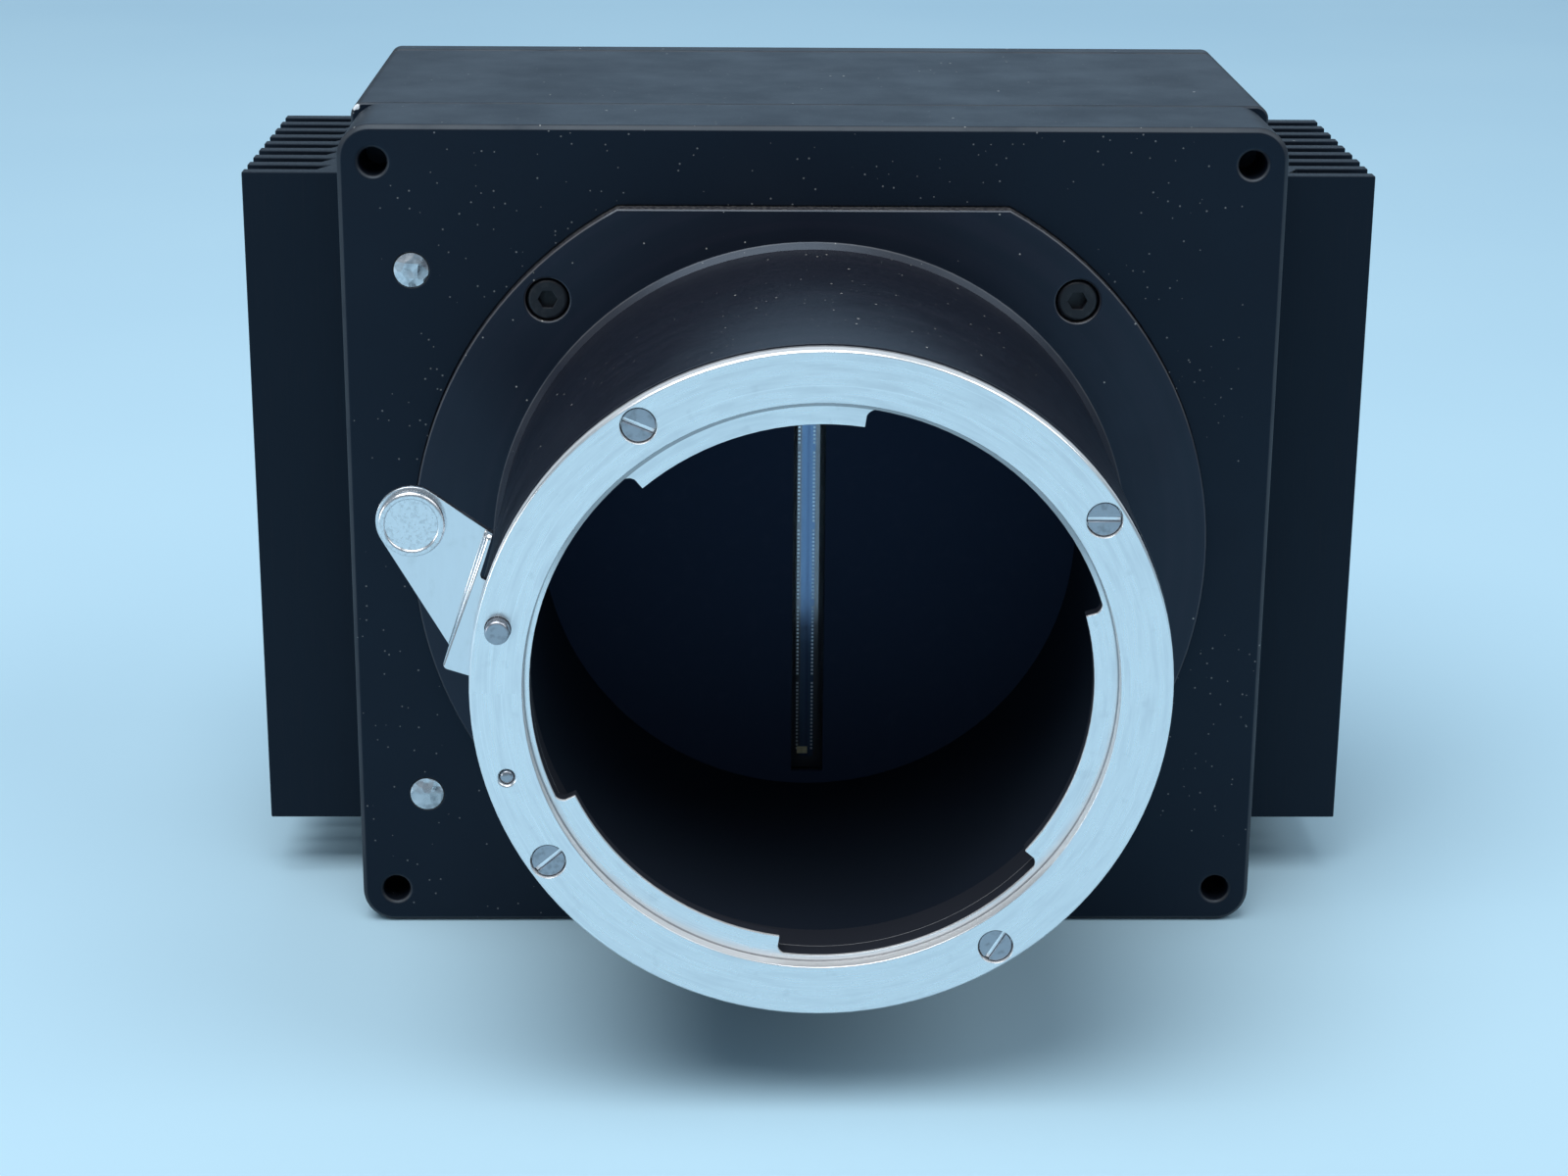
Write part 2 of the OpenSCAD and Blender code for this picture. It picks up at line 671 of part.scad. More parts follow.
module adapter_screws() {
    head_y = flange_y + cap_head_sink;
    shank_y = head_y + cap_head_t;
    color("#1c1c20") at_places(adapter_screw_places) difference() {
        union() {
            rod(cap_head_r, head_y, cap_head_t);
            rod(cap_shank_r, shank_y - bond, bond + seat_y - shank_y + thread_depth - tip_gap);
        }
        rod(cap_socket_r, head_y - over, over + cap_socket_depth, hex);
    }
}

module front_plate() {
    color("#121318") difference() {
        body_block(plate_y, plate_t, plate_corner, plate_edge, seam_edge);
        intersection() {
            rod(flange_r + slip_fit, plate_y - over, over + flange_seat);
            block(plate_w, 2 * flange_flat + 2 * slip_fit, plate_y - over, over + flange_seat);
        }
        rod(locating_r + slip_fit, plate_y - over, web_y - plate_y + over);
        turned() translate([seal_circle - seal_r - slip_fit, seat_y - bond])
            square([2 * seal_r + 2 * slip_fit, 2 * seal_r + bond]);
        block(window[0], window[1], web_y - over, web_t + 2 * over);
        block(package[0] + 2 * move_gap, package[1] + 2 * move_gap, web_y + web_t, plate_t);
        block(board_w + board_gap_w, board_h + 2 * move_gap, sensor_board_y, plate_t);
        at_places(corner_places) {
            rod(mount_hole_r, plate_y - over, over + mount_hole_depth);
            rod(long_shank_r + thread_fit, plate_rear - thread_depth, thread_depth + over);
        }
        at_places(plug_places) rod(plug_r + slip_fit, plate_y - over, over + plug_l);
        at_places(adapter_screw_places) rod(cap_shank_r + thread_fit, seat_y - over, over + thread_depth);
        at_places(standoff_places)
            rod(stud_r + thread_fit, sensor_board_y - stud_l - slip_fit, stud_l + slip_fit + over);
    }
}

module locating_plugs() {
    ball = (pow(plug_r, 2) + pow(plug_dome, 2)) / (2 * plug_dome);
    color("gainsboro") at_places(plug_places) intersection() {
        rod(plug_r, plate_y - plug_dome, plug_dome + plug_l);
        translate([0, plate_y - plug_dome + ball, 0]) sphere(ball);
    }
}

module body_shell() {
    color("#15161b") difference() {
        union() {
            difference() {
                body_block(plate_rear, shell_d, shell_corner, seam_edge, seam_edge);
                translate([0, 0, axis_drop]) block(inner_w, inner_h, plate_rear - over, shell_d + 2 * over);
            }
            intersection() {
                body_block(plate_rear, shell_d, shell_corner, seam_edge, seam_edge);
                at_places([for (p = corners(plate_w - post, plate_h - post)) p + [0, axis_drop]])
                    block(post, post, plate_rear, shell_d);
            }
        }
        at_places(corner_places) rod(long_shank_r + pass_fit, plate_rear - over, shell_d + 2 * over);
        for (s = [-1, 1]) sink_screw_spots(s)
            across(sink_shank_r + pass_fit, inner_w / 2 - over, wall + 2 * over);
    }
}

// Round bar along X, outwards on the side that its place is on
module across(r, x, l) {
    translate([x, 0, 0]) rotate([0, 90, 0]) cylinder(r = r, h = l);
}

// Puts its children at the screws of one heat sink
module sink_screw_spots(s) {
    mirror([s < 0 ? 1 : 0, 0, 0])
        for (y = sink_screw_y, z = [-sink_screw_z, sink_screw_z]) translate([0, y, z]) children();
}

module rear_gasket() {
    color("#2a2a2a") difference() {
        translate([0, 0, axis_drop]) slab(shell_rear, gasket_t) difference() {
            rounded_rect(plate_w - 2 * seam_edge, plate_h - 2 * seam_edge, shell_corner);
            square([inner_w, inner_h], center = true);
        }
        at_places(corner_places) rod(long_shank_r + pass_fit, shell_rear - over, gasket_t + 2 * over);
    }
}

module rear_cover() {
    color("#15161b") difference() {
        body_block(cover_y, cover_t, shell_corner, seam_edge, cover_edge);
        at_places(corner_places) {
            rod(long_head_r + head_fit, cover_rear - long_head_t, long_head_t + over);
            rod(long_shank_r + pass_fit, cover_y - over, cover_t + 2 * over);
        }
        at_places(data_places) slab(cover_y - over, cover_t + 2 * over)
            rounded_rect(data_w + 2 * pass_fit, data_h + 2 * pass_fit, data_corner + pass_fit);
        at_places(jack_places) rod(jack_stud_r + pass_fit, cover_y - over, cover_t + 2 * over);
        at_places([power_place]) rod(power_r + pass_fit, cover_y - over, cover_t + 2 * over);
        at_places([light_place]) rod(light_r + slip_fit, cover_y - over, cover_t + 2 * over);
    }
}

module body_screws() {
    head_y = cover_rear - long_head_t;
    tip_y = plate_rear - thread_depth + tip_gap;
    color("#1c1c20") at_places(corner_places) difference() {
        union() {
            rod(long_head_r, head_y, long_head_t);
            rod(long_shank_r, tip_y, head_y - tip_y + bond);
        }
        rod(long_socket_r, cover_rear - long_socket_depth, long_socket_depth + over, hex);
    }
}

module heat_sink() {
    difference() {
        translate([plate_w / 2, plate_rear, axis_drop - sink_drop - sink_h / 2]) linear_extrude(sink_h) {
            square([sink_base, sink_d]);
            for (i = [0:fin_count - 1]) translate([0, i * fin_pitch]) square([sink_base + fin_l, fin_t]);
        }
        sink_screw_spots(1) across(sink_shank_r + thread_fit, plate_w / 2 - over, over + sink_hole_l);
    }
}

module heat_sink_right() {
    color("#101115") heat_sink();
}

module heat_sink_left() {
    color("#101115") mirror([1, 0, 0]) heat_sink();
}

module heat_sink_screws() {
    head_x = inner_w / 2 - bridge_side_t;
    color("silver") for (s = [-1, 1]) sink_screw_spots(s) {
        across(sink_head_r, head_x - sink_head_t, sink_head_t);
        across(sink_shank_r, head_x - bond, sink_screw_l + bond);
    }
}

module release_lever() {
    button = [button_u, button_v];
    top = [bend_u - bond, lever_start];
    foot = [bend_u - bond, lever_end];
    color("silver") difference() {
        union() {
            slab(lever_y, lever_t) rotate(lever_angle) {
                polygon([top, tangent(top, button, lever_end_r, 1),
                    tangent(foot, button, lever_end_r, -1), foot]);
                translate(button) circle(lever_end_r);
            }
            slab(tab_y, lever_step + lever_t) rotate(lever_angle)
                translate([bend_u - lever_t, lever_start]) square([lever_t, tab_end - lever_start]);
            slab(tab_y, lever_t) rotate(lever_angle)
                translate([tab_in, tab_start]) square([bend_u - tab_in, tab_end - tab_start]);
        }
        at_places([pin_place]) rod(stem_r + slip_fit, 0, 2 * lever_y);
        rotate([0, -lever_angle, 0]) at_places([button]) rod(rivet_r + slip_fit, 0, 2 * lever_y);
    }
}

module release_button() {
    top_y = lever_y - button_h;
    rear = button_h + lever_t;
    rim = (button_r - dish_r) / 2;
    color("silver") rotate([0, -lever_angle, 0]) at_places([[button_u, button_v]]) translate([0, top_y, 0])
        turned() polygon([[0, dish_depth], [dish_r, dish_depth], [dish_r + rim / 2, 0],
            [button_r - rim, 0], [button_r, rim], [button_r, button_h], [rivet_r, button_h], [rivet_r, rear],
            [rivet_head_r, rear], [rivet_head_r, rear + rivet_head_t], [0, rear + rivet_head_t]]);
}

module lock_pin() {
    color("lightgray") at_places([pin_place]) turned()
        polygon([[0, -pin_proud], [pin_r - ring_edge, -pin_proud], [pin_r, ring_edge - pin_proud],
            [pin_r, tab_y], [stem_r, tab_y], [stem_r, stem_rear], [0, stem_rear]]);
}

// The spring pushes the lever forwards from the bottom of its hole
module lock_spring() {
    steps = spring_turns * coil_steps;
    start = spring_y + wire_r + slip_fit;
    rise = spring_rear - spring_y - 2 * wire_r - 2 * slip_fit;
    points = [for (i = [0:steps], j = [0:coil_sides - 1])
        let (a = 360 * i / coil_steps, b = 360 * j / coil_sides, r = spring_mean_r + wire_r * cos(b))
        [r * cos(a), start + rise * i / steps + wire_r * sin(b), r * sin(a)]];
    sides = [for (i = [0:steps - 1], j = [0:coil_sides - 1])
        let (k = (j + 1) % coil_sides, a = i * coil_sides, b = a + coil_sides)
        each [[a + j, b + j, b + k], [a + j, b + k, a + k]]];
    last = steps * coil_sides;
    ends = [for (j = [1:coil_sides - 2]) each [[0, j, j + 1], [last, last + j + 1, last + j]]];
    color("silver") at_places([pin_place]) polyhedron(points, concat(sides, ends));
}

module sensor_mask() {
    color("#0b0b0d") slab(web_y - mask_t, mask_t) difference() {
        circle(locating_r - slip_fit);
        square(slit, center = true);
    }
}

module sensor_foam() {
    color("#1a1a1a") difference() {
        block(glass[0], glass[1], web_y + web_t, foam_t);
        block(window[0], window[1], web_y, web_t + foam_t + over);
    }
}

module sensor_glass() {
    color("lightblue", 0.3) block(glass[0], glass[1], glass_y, glass_t);
}

module sensor_package() {
    color("#2c2a2a") difference() {
        block(package[0], package[1], package_y, sensor_board_y - package_y);
        block(hollow[0], hollow[1], package_y - over, over + glass_gap + die_t);
    }
}

module sensor_chip() {
    color("#3b5b86") block(die_w, die_l, seat_to_sensor, die_t);
}

// Bare circuit board with its corner holes
module circuit_board(y) {
    difference() {
        block(board_w, board_h, y, board_t);
        at_places(standoff_places) rod(stud_r + pass_fit, y - over, board_t + 2 * over);
    }
}

module sensor_board() {
    color("darkgreen") circuit_board(sensor_board_y);
}

module processor_board() {
    color("darkgreen") circuit_board(processor_y);
}

module socket_board() {
    color("darkgreen") circuit_board(socket_board_y);
}

// Hexagonal stand-offs with a threaded front end and a tapped rear end
module standoffs(y, l, stud) {
    at_places(standoff_places) difference() {
        union() {
            rod(standoff_r, y, l, hex);
            rod(stud_r, y - stud, stud + bond);
        }
        rod(stud_r + thread_fit, y + l - stud_l - tip_gap, stud_l + tip_gap + over);
    }
}

module front_standoffs() {
    color("goldenrod") standoffs(sensor_board_y + board_t, front_standoff_l, board_t + stud_l);
}

module rear_standoffs() {
    color("goldenrod") standoffs(chip_y, rear_standoff_l, board_t + stud_l);
}

module board_screws() {
    color("silver") at_places(standoff_places) {
        rod(board_head_r, socket_y, board_head_t);
        rod(stud_r, socket_board_y - stud_l, stud_l + board_t + bond);
    }
}

module processor_chip() {
    color("#1b1b1e") block(chip_w, chip_w, chip_y, chip_t);
}

module thermal_pad() {
    color("lightslategray") block(chip_w, chip_w, chip_y + chip_t, pad_t);
}

module heat_bridge() {
    color("lightgray") difference() {
        union() {
            block(inner_w, bridge_h, bridge_y, bridge_t);
            for (s = [-1, 1]) translate([s * (inner_w - bridge_side_t) / 2, 0, 0])
                block(bridge_side_t, bridge_h, bridge_side_y, bridge_d);
        }
        for (s = [-1, 1]) sink_screw_spots(s)
            across(sink_shank_r + pass_fit, inner_w / 2 - bridge_side_t - over, bridge_side_t + 2 * over);
    }
}

// Plug and socket that join two boards
module board_links() {
    color("#d8d2c4") translate([0, 0, link_inset - board_h / 2]) {
        block(link_w, link_h, sensor_board_y + board_t, front_standoff_l);
        block(link_w, link_h, chip_y, rear_standoff_l);
    }
}

module power_coils() {
    first = -(coil_count - 1) / 2 * coil_pitch;
    color("#3a3a3c") translate([first, 0, board_h / 2 - coil_inset]) for (i = [0:coil_count - 1])
        translate([i * coil_pitch, 0, 0]) block(coil_w, coil_w, socket_board_y - coil_t, coil_t);
}

module data_outline(inset) {
    rounded_rect(data_w - 2 * inset, data_h - 2 * inset, data_corner - inset);
}

module data_shells() {
    color("silver") at_places(data_places) difference() {
        union() {
            slab(cover_y - data_flange_t, cover_t + data_flange_t + data_proud) data_outline(0);
            block(data_flange_w, data_flange_h, cover_y - data_flange_t, data_flange_t);
        }
        slab(cover_y - data_flange_t - over, cover_t + data_flange_t + data_proud + 2 * over)
            data_outline(data_wall);
        for (s = [-1, 1]) translate([s * jack_spacing / 2, 0, 0])
            rod(jack_stud_r + pass_fit, cover_y - data_flange_t - over, data_flange_t + 2 * over);
    }
}

module data_inserts() {
    color("#1d1d1f") at_places(data_places) {
        slab(socket_y, insert_rear - socket_y) data_outline(data_wall + slip_fit);
        block(tongue_w, tongue_t, insert_rear - bond, bond + contact_l);
    }
}

module data_contacts() {
    first = -(contact_count - 1) / 2 * contact_pitch;
    color("gold") at_places(data_places) for (i = [0:contact_count - 1], s = [-1, 1])
        translate([first + i * contact_pitch, 0, s * (tongue_t / 2 + slip_fit)])
        block(contact_pitch / 2, 2 * slip_fit, insert_rear, contact_l);
}

module jack_screws() {
    color("silver") at_places(jack_places) difference() {
        union() {
            rod(jack_r, cover_rear, data_proud, hex);
            rod(jack_stud_r, cover_y - 2 * data_flange_t, 2 * data_flange_t + cover_t + bond);
        }
        rod(jack_bore_r, insert_rear, data_proud);
    }
}

module power_shell() {
    flange_rear = cover_rear + power_flange_t;
    rear = cover_rear + power_proud;
    inner = power_r - power_wall;
    color("silver") at_places([power_place]) turned() polygon([[inner, barrel_y], [power_r, barrel_y],
        [power_r, cover_rear], [power_flange_r, cover_rear], [power_flange_r, flange_rear],
        [power_r, flange_rear], [power_r, rear - ring_edge], [power_r - ring_edge, rear], [inner, rear]]);
}

module power_nut() {
    color("silver") at_places([power_place]) difference() {
        rod(nut_r, cover_y - nut_t, nut_t, hex);
        rod(power_r + thread_fit, cover_y - nut_t - over, nut_t + 2 * over);
    }
}

power_pin_places = [for (i = [0:power_pin_count - 1])
    polar(power_pin_circle, power_key_turn + 360 * (i + 0.5) / power_pin_count)];

module power_insert() {
    color("#1d1d1f") at_places([power_place]) difference() {
        rod(power_r - power_wall - slip_fit, barrel_y, insert_rear - barrel_y);
        at_places(power_pin_places)
            rod(power_pin_r + slip_fit, barrel_y - over, insert_rear - barrel_y + 2 * over);
    }
}

module power_pins() {
    rear = cover_rear + power_proud - contact_setback;
    color("gold") at_places([power_place]) at_places(power_pin_places)
        rod(power_pin_r, socket_y, rear - socket_y);
}

module status_light() {
    rear = cover_rear + light_proud;
    color("palegreen") at_places([light_place]) intersection() {
        rod(light_r, socket_y, rear - socket_y);
        translate([0, rear - 2 * light_r, 0]) union() {
            sphere(2 * light_r);
            rod(light_r, socket_y - rear, rear - socket_y);
        }
    }
}

front_plate();
body_shell();
rear_cover();
rear_gasket();
heat_sink_left();
heat_sink_right();
lens_adapter();
adapter_seal();
adapter_screws();
bayonet_ring();
bayonet_screws();
index_stud();
locating_plugs();
release_lever();
release_button();
lock_pin();
lock_spring();
sensor_mask();
sensor_foam();
sensor_glass();
sensor_chip();
sensor_package();
sensor_board();
processor_board();
processor_chip();
thermal_pad();
heat_bridge();
socket_board();
front_standoffs();
rear_standoffs();
board_screws();
board_links();
power_coils();
data_shells();
data_inserts();
data_contacts();
jack_screws();
power_shell();
power_insert();
power_pins();
power_nut();
status_light();
body_screws();
heat_sink_screws();
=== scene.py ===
# %% [markdown]
# # A line-scan camera, dressed in Blender
# The camera's construction comes from CAD: each plate, ring, screw and spring is already a solid of
# the right size. This lesson gives them their looks. We load the solids as a fixed frame, put the
# photographer's camera in place, mix a procedural material for each finish, round the edges that
# catch the light, model a few small pieces by hand, and light the scene softly.

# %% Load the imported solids
import bpy
import json
import math
from mathutils import Matrix, Vector


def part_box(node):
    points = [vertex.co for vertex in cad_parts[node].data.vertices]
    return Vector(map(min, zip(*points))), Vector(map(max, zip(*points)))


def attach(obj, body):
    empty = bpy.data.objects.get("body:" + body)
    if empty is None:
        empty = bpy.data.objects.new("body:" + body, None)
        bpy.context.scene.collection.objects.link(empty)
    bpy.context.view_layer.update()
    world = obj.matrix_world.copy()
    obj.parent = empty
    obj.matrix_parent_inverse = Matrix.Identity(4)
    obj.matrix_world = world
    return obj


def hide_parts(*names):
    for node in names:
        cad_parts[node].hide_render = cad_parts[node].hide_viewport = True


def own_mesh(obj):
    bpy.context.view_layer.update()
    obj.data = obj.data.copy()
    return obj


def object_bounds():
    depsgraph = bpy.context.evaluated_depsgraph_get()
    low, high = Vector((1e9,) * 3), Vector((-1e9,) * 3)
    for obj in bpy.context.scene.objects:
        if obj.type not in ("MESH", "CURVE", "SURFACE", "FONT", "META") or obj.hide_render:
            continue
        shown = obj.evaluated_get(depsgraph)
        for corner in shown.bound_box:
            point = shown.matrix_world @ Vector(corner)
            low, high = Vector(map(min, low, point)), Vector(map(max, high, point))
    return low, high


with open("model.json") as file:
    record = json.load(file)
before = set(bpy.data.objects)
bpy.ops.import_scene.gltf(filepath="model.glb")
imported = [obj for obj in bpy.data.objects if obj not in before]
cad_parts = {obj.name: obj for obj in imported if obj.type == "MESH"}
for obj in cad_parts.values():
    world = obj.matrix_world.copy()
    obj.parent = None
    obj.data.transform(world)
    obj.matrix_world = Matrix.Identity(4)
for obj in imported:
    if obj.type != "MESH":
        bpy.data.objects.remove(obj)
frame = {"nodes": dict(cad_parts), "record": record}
cad_low, cad_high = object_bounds()
MM = 0.001


def box_mm(node):
    """A solid's lowest and highest corner in millimetres."""
    low_corner, high_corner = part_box(node)
    return low_corner / MM, high_corner / MM


print("CAD box in mm:", [round((high - low) / MM, 1) for low, high in zip(cad_low, cad_high)])

# %% [markdown]
# The photograph was taken from in front and above with a lens of about 72 mm. Its place was solved
# from the lens ring's circles and the front plate's corner holes, so we enter the solved numbers
# instead of aiming by eye. A camera in Blender looks along its own -Z, which gives the third column
# of its matrix.

# %% Camera
FRAME_PX = 1600
FOCAL_PX = 3186.82
FILM_MM = 36
PITCH, YAW, ROLL = 0.31408, 0.01876, 0.00738
STAND = Vector((-7.518, -235.232, 85.331)) * MM

ahead = Vector((math.sin(YAW) * math.cos(PITCH), math.cos(YAW) * math.cos(PITCH), -math.sin(PITCH)))
level = Vector((math.cos(YAW), -math.sin(YAW), 0))
upright = level.cross(ahead)
right = math.cos(ROLL) * level + math.sin(ROLL) * upright
up = math.cos(ROLL) * upright - math.sin(ROLL) * level

eye = bpy.data.objects.new("photo_camera", bpy.data.cameras.new("photo_camera"))
eye.data.sensor_fit = "HORIZONTAL"
eye.data.sensor_width = FILM_MM
eye.data.lens = FOCAL_PX / FRAME_PX * FILM_MM
eye.data.clip_start = 0.01
eye.matrix_world = Matrix.Translation(STAND) @ Matrix((right, up, -ahead)).transposed().to_4x4()
bpy.context.scene.collection.objects.link(eye)
bpy.context.scene.camera = eye
print("camera looks", round(math.degrees(PITCH), 1), "degrees down, lens", round(eye.data.lens, 1), "mm")

# %% [markdown]
# A finish is a Principled shader whose colour, roughness and bump come from textures. We write one
# small class that adds nodes, so that each finish below reads like a recipe: a base, some paint
# through a mask, some bump. All textures read Object coordinates. The pieces sit at the origin
# unturned, so one unit there is one metre.


# %% A recipe book for finishes
class Finish:
    """One procedural material, built up in layers."""

    def __init__(self, name, colour, rough, metal=0.0):
        self.material = bpy.data.materials.new(name)
        self.material.use_nodes = True
        self.tree = self.material.node_tree
        self.shader = self.tree.nodes["Principled BSDF"]
        self.shader.inputs["Base Color"].default_value = (*colour, 1)
        self.shader.inputs["Roughness"].default_value = rough
        self.shader.inputs["Metallic"].default_value = metal
        self.coordinates = self.add("ShaderNodeTexCoord")
        self.place = self.coordinates.outputs["Object"]

    def add(self, kind, **settings):
        node = self.tree.nodes.new(kind)
        for name, value in settings.items():
            setattr(node, name, value)
        return node

    def feed(self, socket, value):
        if isinstance(value, bpy.types.NodeSocket):
            self.tree.links.new(value, socket)
        else:
            socket.default_value = value

    def under(self, socket_name):
        """What reaches a socket of the shader so far: a link, or its plain value."""
        socket = self.shader.inputs[socket_name]
        return socket.links[0].from_socket if socket.links else socket.default_value

    def calc(self, operation, *values):
        node = self.add("ShaderNodeMath", operation=operation)
        for socket, value in zip(node.inputs, values):
            self.feed(socket, value)
        return node.outputs[0]

    def ramp(self, value, start, end, low=0.0, high=1.0):
        """Goes softly from low to high while the value goes from start to end."""
        node = self.add("ShaderNodeMapRange", interpolation_type="SMOOTHSTEP")
        settings = {"Value": value, "From Min": start, "From Max": end, "To Min": low, "To Max": high}
        for name, number in settings.items():
            self.feed(node.inputs[name], number)
        return node.outputs["Result"]

    def stretch(self, scale):
        node = self.add("ShaderNodeMapping")
        self.feed(node.inputs["Vector"], self.place)
        node.inputs["Scale"].default_value = scale
        return node.outputs["Vector"]

    def noise(self, grain_mm, detail=2.0, place=None):
        node = self.add("ShaderNodeTexNoise")
        self.feed(node.inputs["Vector"], place or self.place)
        node.inputs["Scale"].default_value = 1 / (grain_mm * MM)
        node.inputs["Detail"].default_value = detail
        return node.outputs["Fac"]

    def split(self, vector):
        node = self.add("ShaderNodeSeparateXYZ")
        self.feed(node.inputs[0], vector)
        return node.outputs

    def join(self, x, y, z):
        node = self.add("ShaderNodeCombineXYZ")
        for socket, value in zip(node.inputs, (x, y, z)):
            self.feed(socket, value)
        return node.outputs[0]

    def away_from(self, point_mm):
        node = self.add("ShaderNodeVectorMath", operation="DISTANCE")
        self.feed(node.inputs[0], self.place)
        node.inputs[1].default_value = Vector(point_mm) * MM
        return node.outputs["Value"]

    def away_from_axis(self):
        """Distance from the optical axis, which is the Y axis."""
        place = self.split(self.place)
        squares = [self.calc("MULTIPLY", place[axis], place[axis]) for axis in "XZ"]
        return self.calc("SQRT", self.calc("ADD", *squares))

    def paint(self, mask, colour):
        node = self.add("ShaderNodeMix", data_type="RGBA")
        base = self.under("Base Color")
        self.feed(node.inputs["Factor"], mask)
        self.feed(node.inputs["A"], base if isinstance(base, bpy.types.NodeSocket) else tuple(base))
        self.feed(node.inputs["B"], (*colour, 1))
        self.feed(self.shader.inputs["Base Color"], node.outputs["Result"])

    def polish(self, mask, low, high):
        self.feed(self.shader.inputs["Roughness"], self.ramp(mask, 0.0, 1.0, low, high))

    def dull(self, mask, rough):
        """The roughness goes to this value where the mask is 1."""
        base = self.under("Roughness")
        self.feed(self.shader.inputs["Roughness"], self.ramp(mask, 0.0, 1.0, base, rough))

    def bump(self, height, depth_mm):
        node = self.add("ShaderNodeBump")
        normal = self.shader.inputs["Normal"]
        if normal.links:
            self.feed(node.inputs["Normal"], normal.links[0].from_socket)
        self.feed(node.inputs["Height"], height)
        node.inputs["Distance"].default_value = depth_mm * MM
        self.feed(normal, node.outputs["Normal"])


finishes = {}


def keep(slot, finish):
    """Enter a finish in the book under the slot that the record gives to its pieces."""
    finishes[slot] = finish
    print(slot, "has a finish of", len(finish.tree.nodes), "nodes")


print("recipe book open")

# %% [markdown]
# Lathe-turned pieces carry rings: round the tube along its length, and in circles on a flat face.
# Both come from one trick: we feed a noise the distance from the optical axis and the place along
# it, and nearly leave out the angle. The little that is let in breaks the rings up as real tool
# marks do.


# %% Turned rings
def turned_rings(finish, grain_mm, break_up=0.02):
    x, y, z = finish.split(finish.place)
    angle = finish.calc("MULTIPLY", finish.calc("ARCTAN2", z, x), break_up * MM)
    return finish.noise(grain_mm, 3.0, finish.join(finish.away_from_axis(), y, angle))


# %% [markdown]
# Dust lies on the black pieces as fine pale specks. A Voronoi texture puts one point in each cell;
# where the distance to that point is tiny we have a speck. A random number per cell drops some of
# them, and another sets the radius: a larger speck is also paler. A broad noise gathers them in
# patches, and round one place, the heap, they lie thickest.


# %% Dust specks
HEAP_NEAR, HEAP_FAR = 3 * MM, 20 * MM


def dust(finish, cell_mm, share, radius, heap=None):
    cells = finish.add("ShaderNodeTexVoronoi")
    finish.feed(cells.inputs["Vector"], finish.place)
    cells.inputs["Scale"].default_value = 1 / (cell_mm * MM)
    chance = finish.add("ShaderNodeSeparateColor")
    finish.feed(chance.inputs[0], cells.outputs["Color"])
    kept = finish.calc("LESS_THAN", chance.outputs["Red"], share)
    size = finish.calc("MULTIPLY", chance.outputs["Green"], radius)
    speck = finish.calc("LESS_THAN", cells.outputs["Distance"], size)
    patch = finish.ramp(finish.noise(16.0, 2.0), 0.42, 0.62)
    if heap:
        near_heap = finish.ramp(finish.away_from(heap), HEAP_NEAR, HEAP_FAR, 1.0, 0.0)
        patch = finish.calc("MAXIMUM", patch, near_heap)
    gathered = finish.calc("LESS_THAN", chance.outputs["Blue"], patch)
    shade = finish.ramp(chance.outputs["Green"], 0.2, 1.0, 0.25, 1.0)
    shown = finish.calc("MULTIPLY", kept, speck)
    return finish.calc("MULTIPLY", shown, finish.calc("MULTIPLY", gathered, shade))


# %% [markdown]
# Finer dust settles as a veil on whatever faces up. The object-space normal tells how much a face
# looks up, and a fine noise makes the veil grainy.


# %% Settled veil
def facing(finish):
    return finish.split(finish.coordinates.outputs["Normal"])


def settled(finish, strength):
    upwards = finish.ramp(facing(finish)["Z"], 0.35, 0.95)
    grain = finish.ramp(finish.noise(0.35, 4.0), 0.38, 0.72, 0.15, 1.0)
    return finish.calc("MULTIPLY", finish.calc("MULTIPLY", upwards, grain), strength)


# %% [markdown]
# Chamfered edges rub pale first, and the pale paint also stands in for the highlight they catch. On
# this camera every chamfer faces half forwards and half sideways, so its normal tells it apart: it
# has as much of Y in it as of the other two. An edge that also looks up is painted paler still, as a
# painted highlight from the lamps above. Normals in object space don't change with the view.


# %% Worn chamfers with a painted highlight
def worn_and_lit_edges(finish):
    normal = facing(finish)
    along = finish.calc("ABSOLUTE", normal["Y"])
    across = finish.calc("SQRT", finish.calc("SUBTRACT", 1.0, finish.calc("MULTIPLY", along, along)))
    edge = finish.ramp(finish.calc("MINIMUM", along, across), 0.25, 0.6)
    # Painted highlight: edges that face up, towards the lamps, are painted paler.
    upper = finish.ramp(normal["Z"], 0.1, 0.6, 0.4, 1.0)
    rubbed_and_glint = finish.ramp(finish.noise(5.0, 4.0), 0.25, 0.6, 0.45, 1.0)
    return finish.calc("MULTIPLY", finish.calc("MULTIPLY", edge, upper), rubbed_and_glint)


# %% [markdown]
# The plate, the shell and the rear cover are bead-blasted and anodised black: a blue-black satin
# with a faint grain. The dyed oxide layer reflects less than a lacquer does, so the specular level
# comes down; its blue specular tint is a painted reflection. Dust, worn chamfers with a painted
# highlight and cloudy handling marks come on top, and one nick on the top left seam bares the aluminium.

# %% Black anodise
NICK = (-41.7, 51.0, 38.6)
NICK_R, NICK_RAG = 0.65, 0.8
# Painted reflection: a blue specular tint that stands in for blue surroundings.
BLUE_REFLECTION_TINT = (0.52, 0.76, 1.0, 1)
PLATE_HEAP = (5, 39, 31)

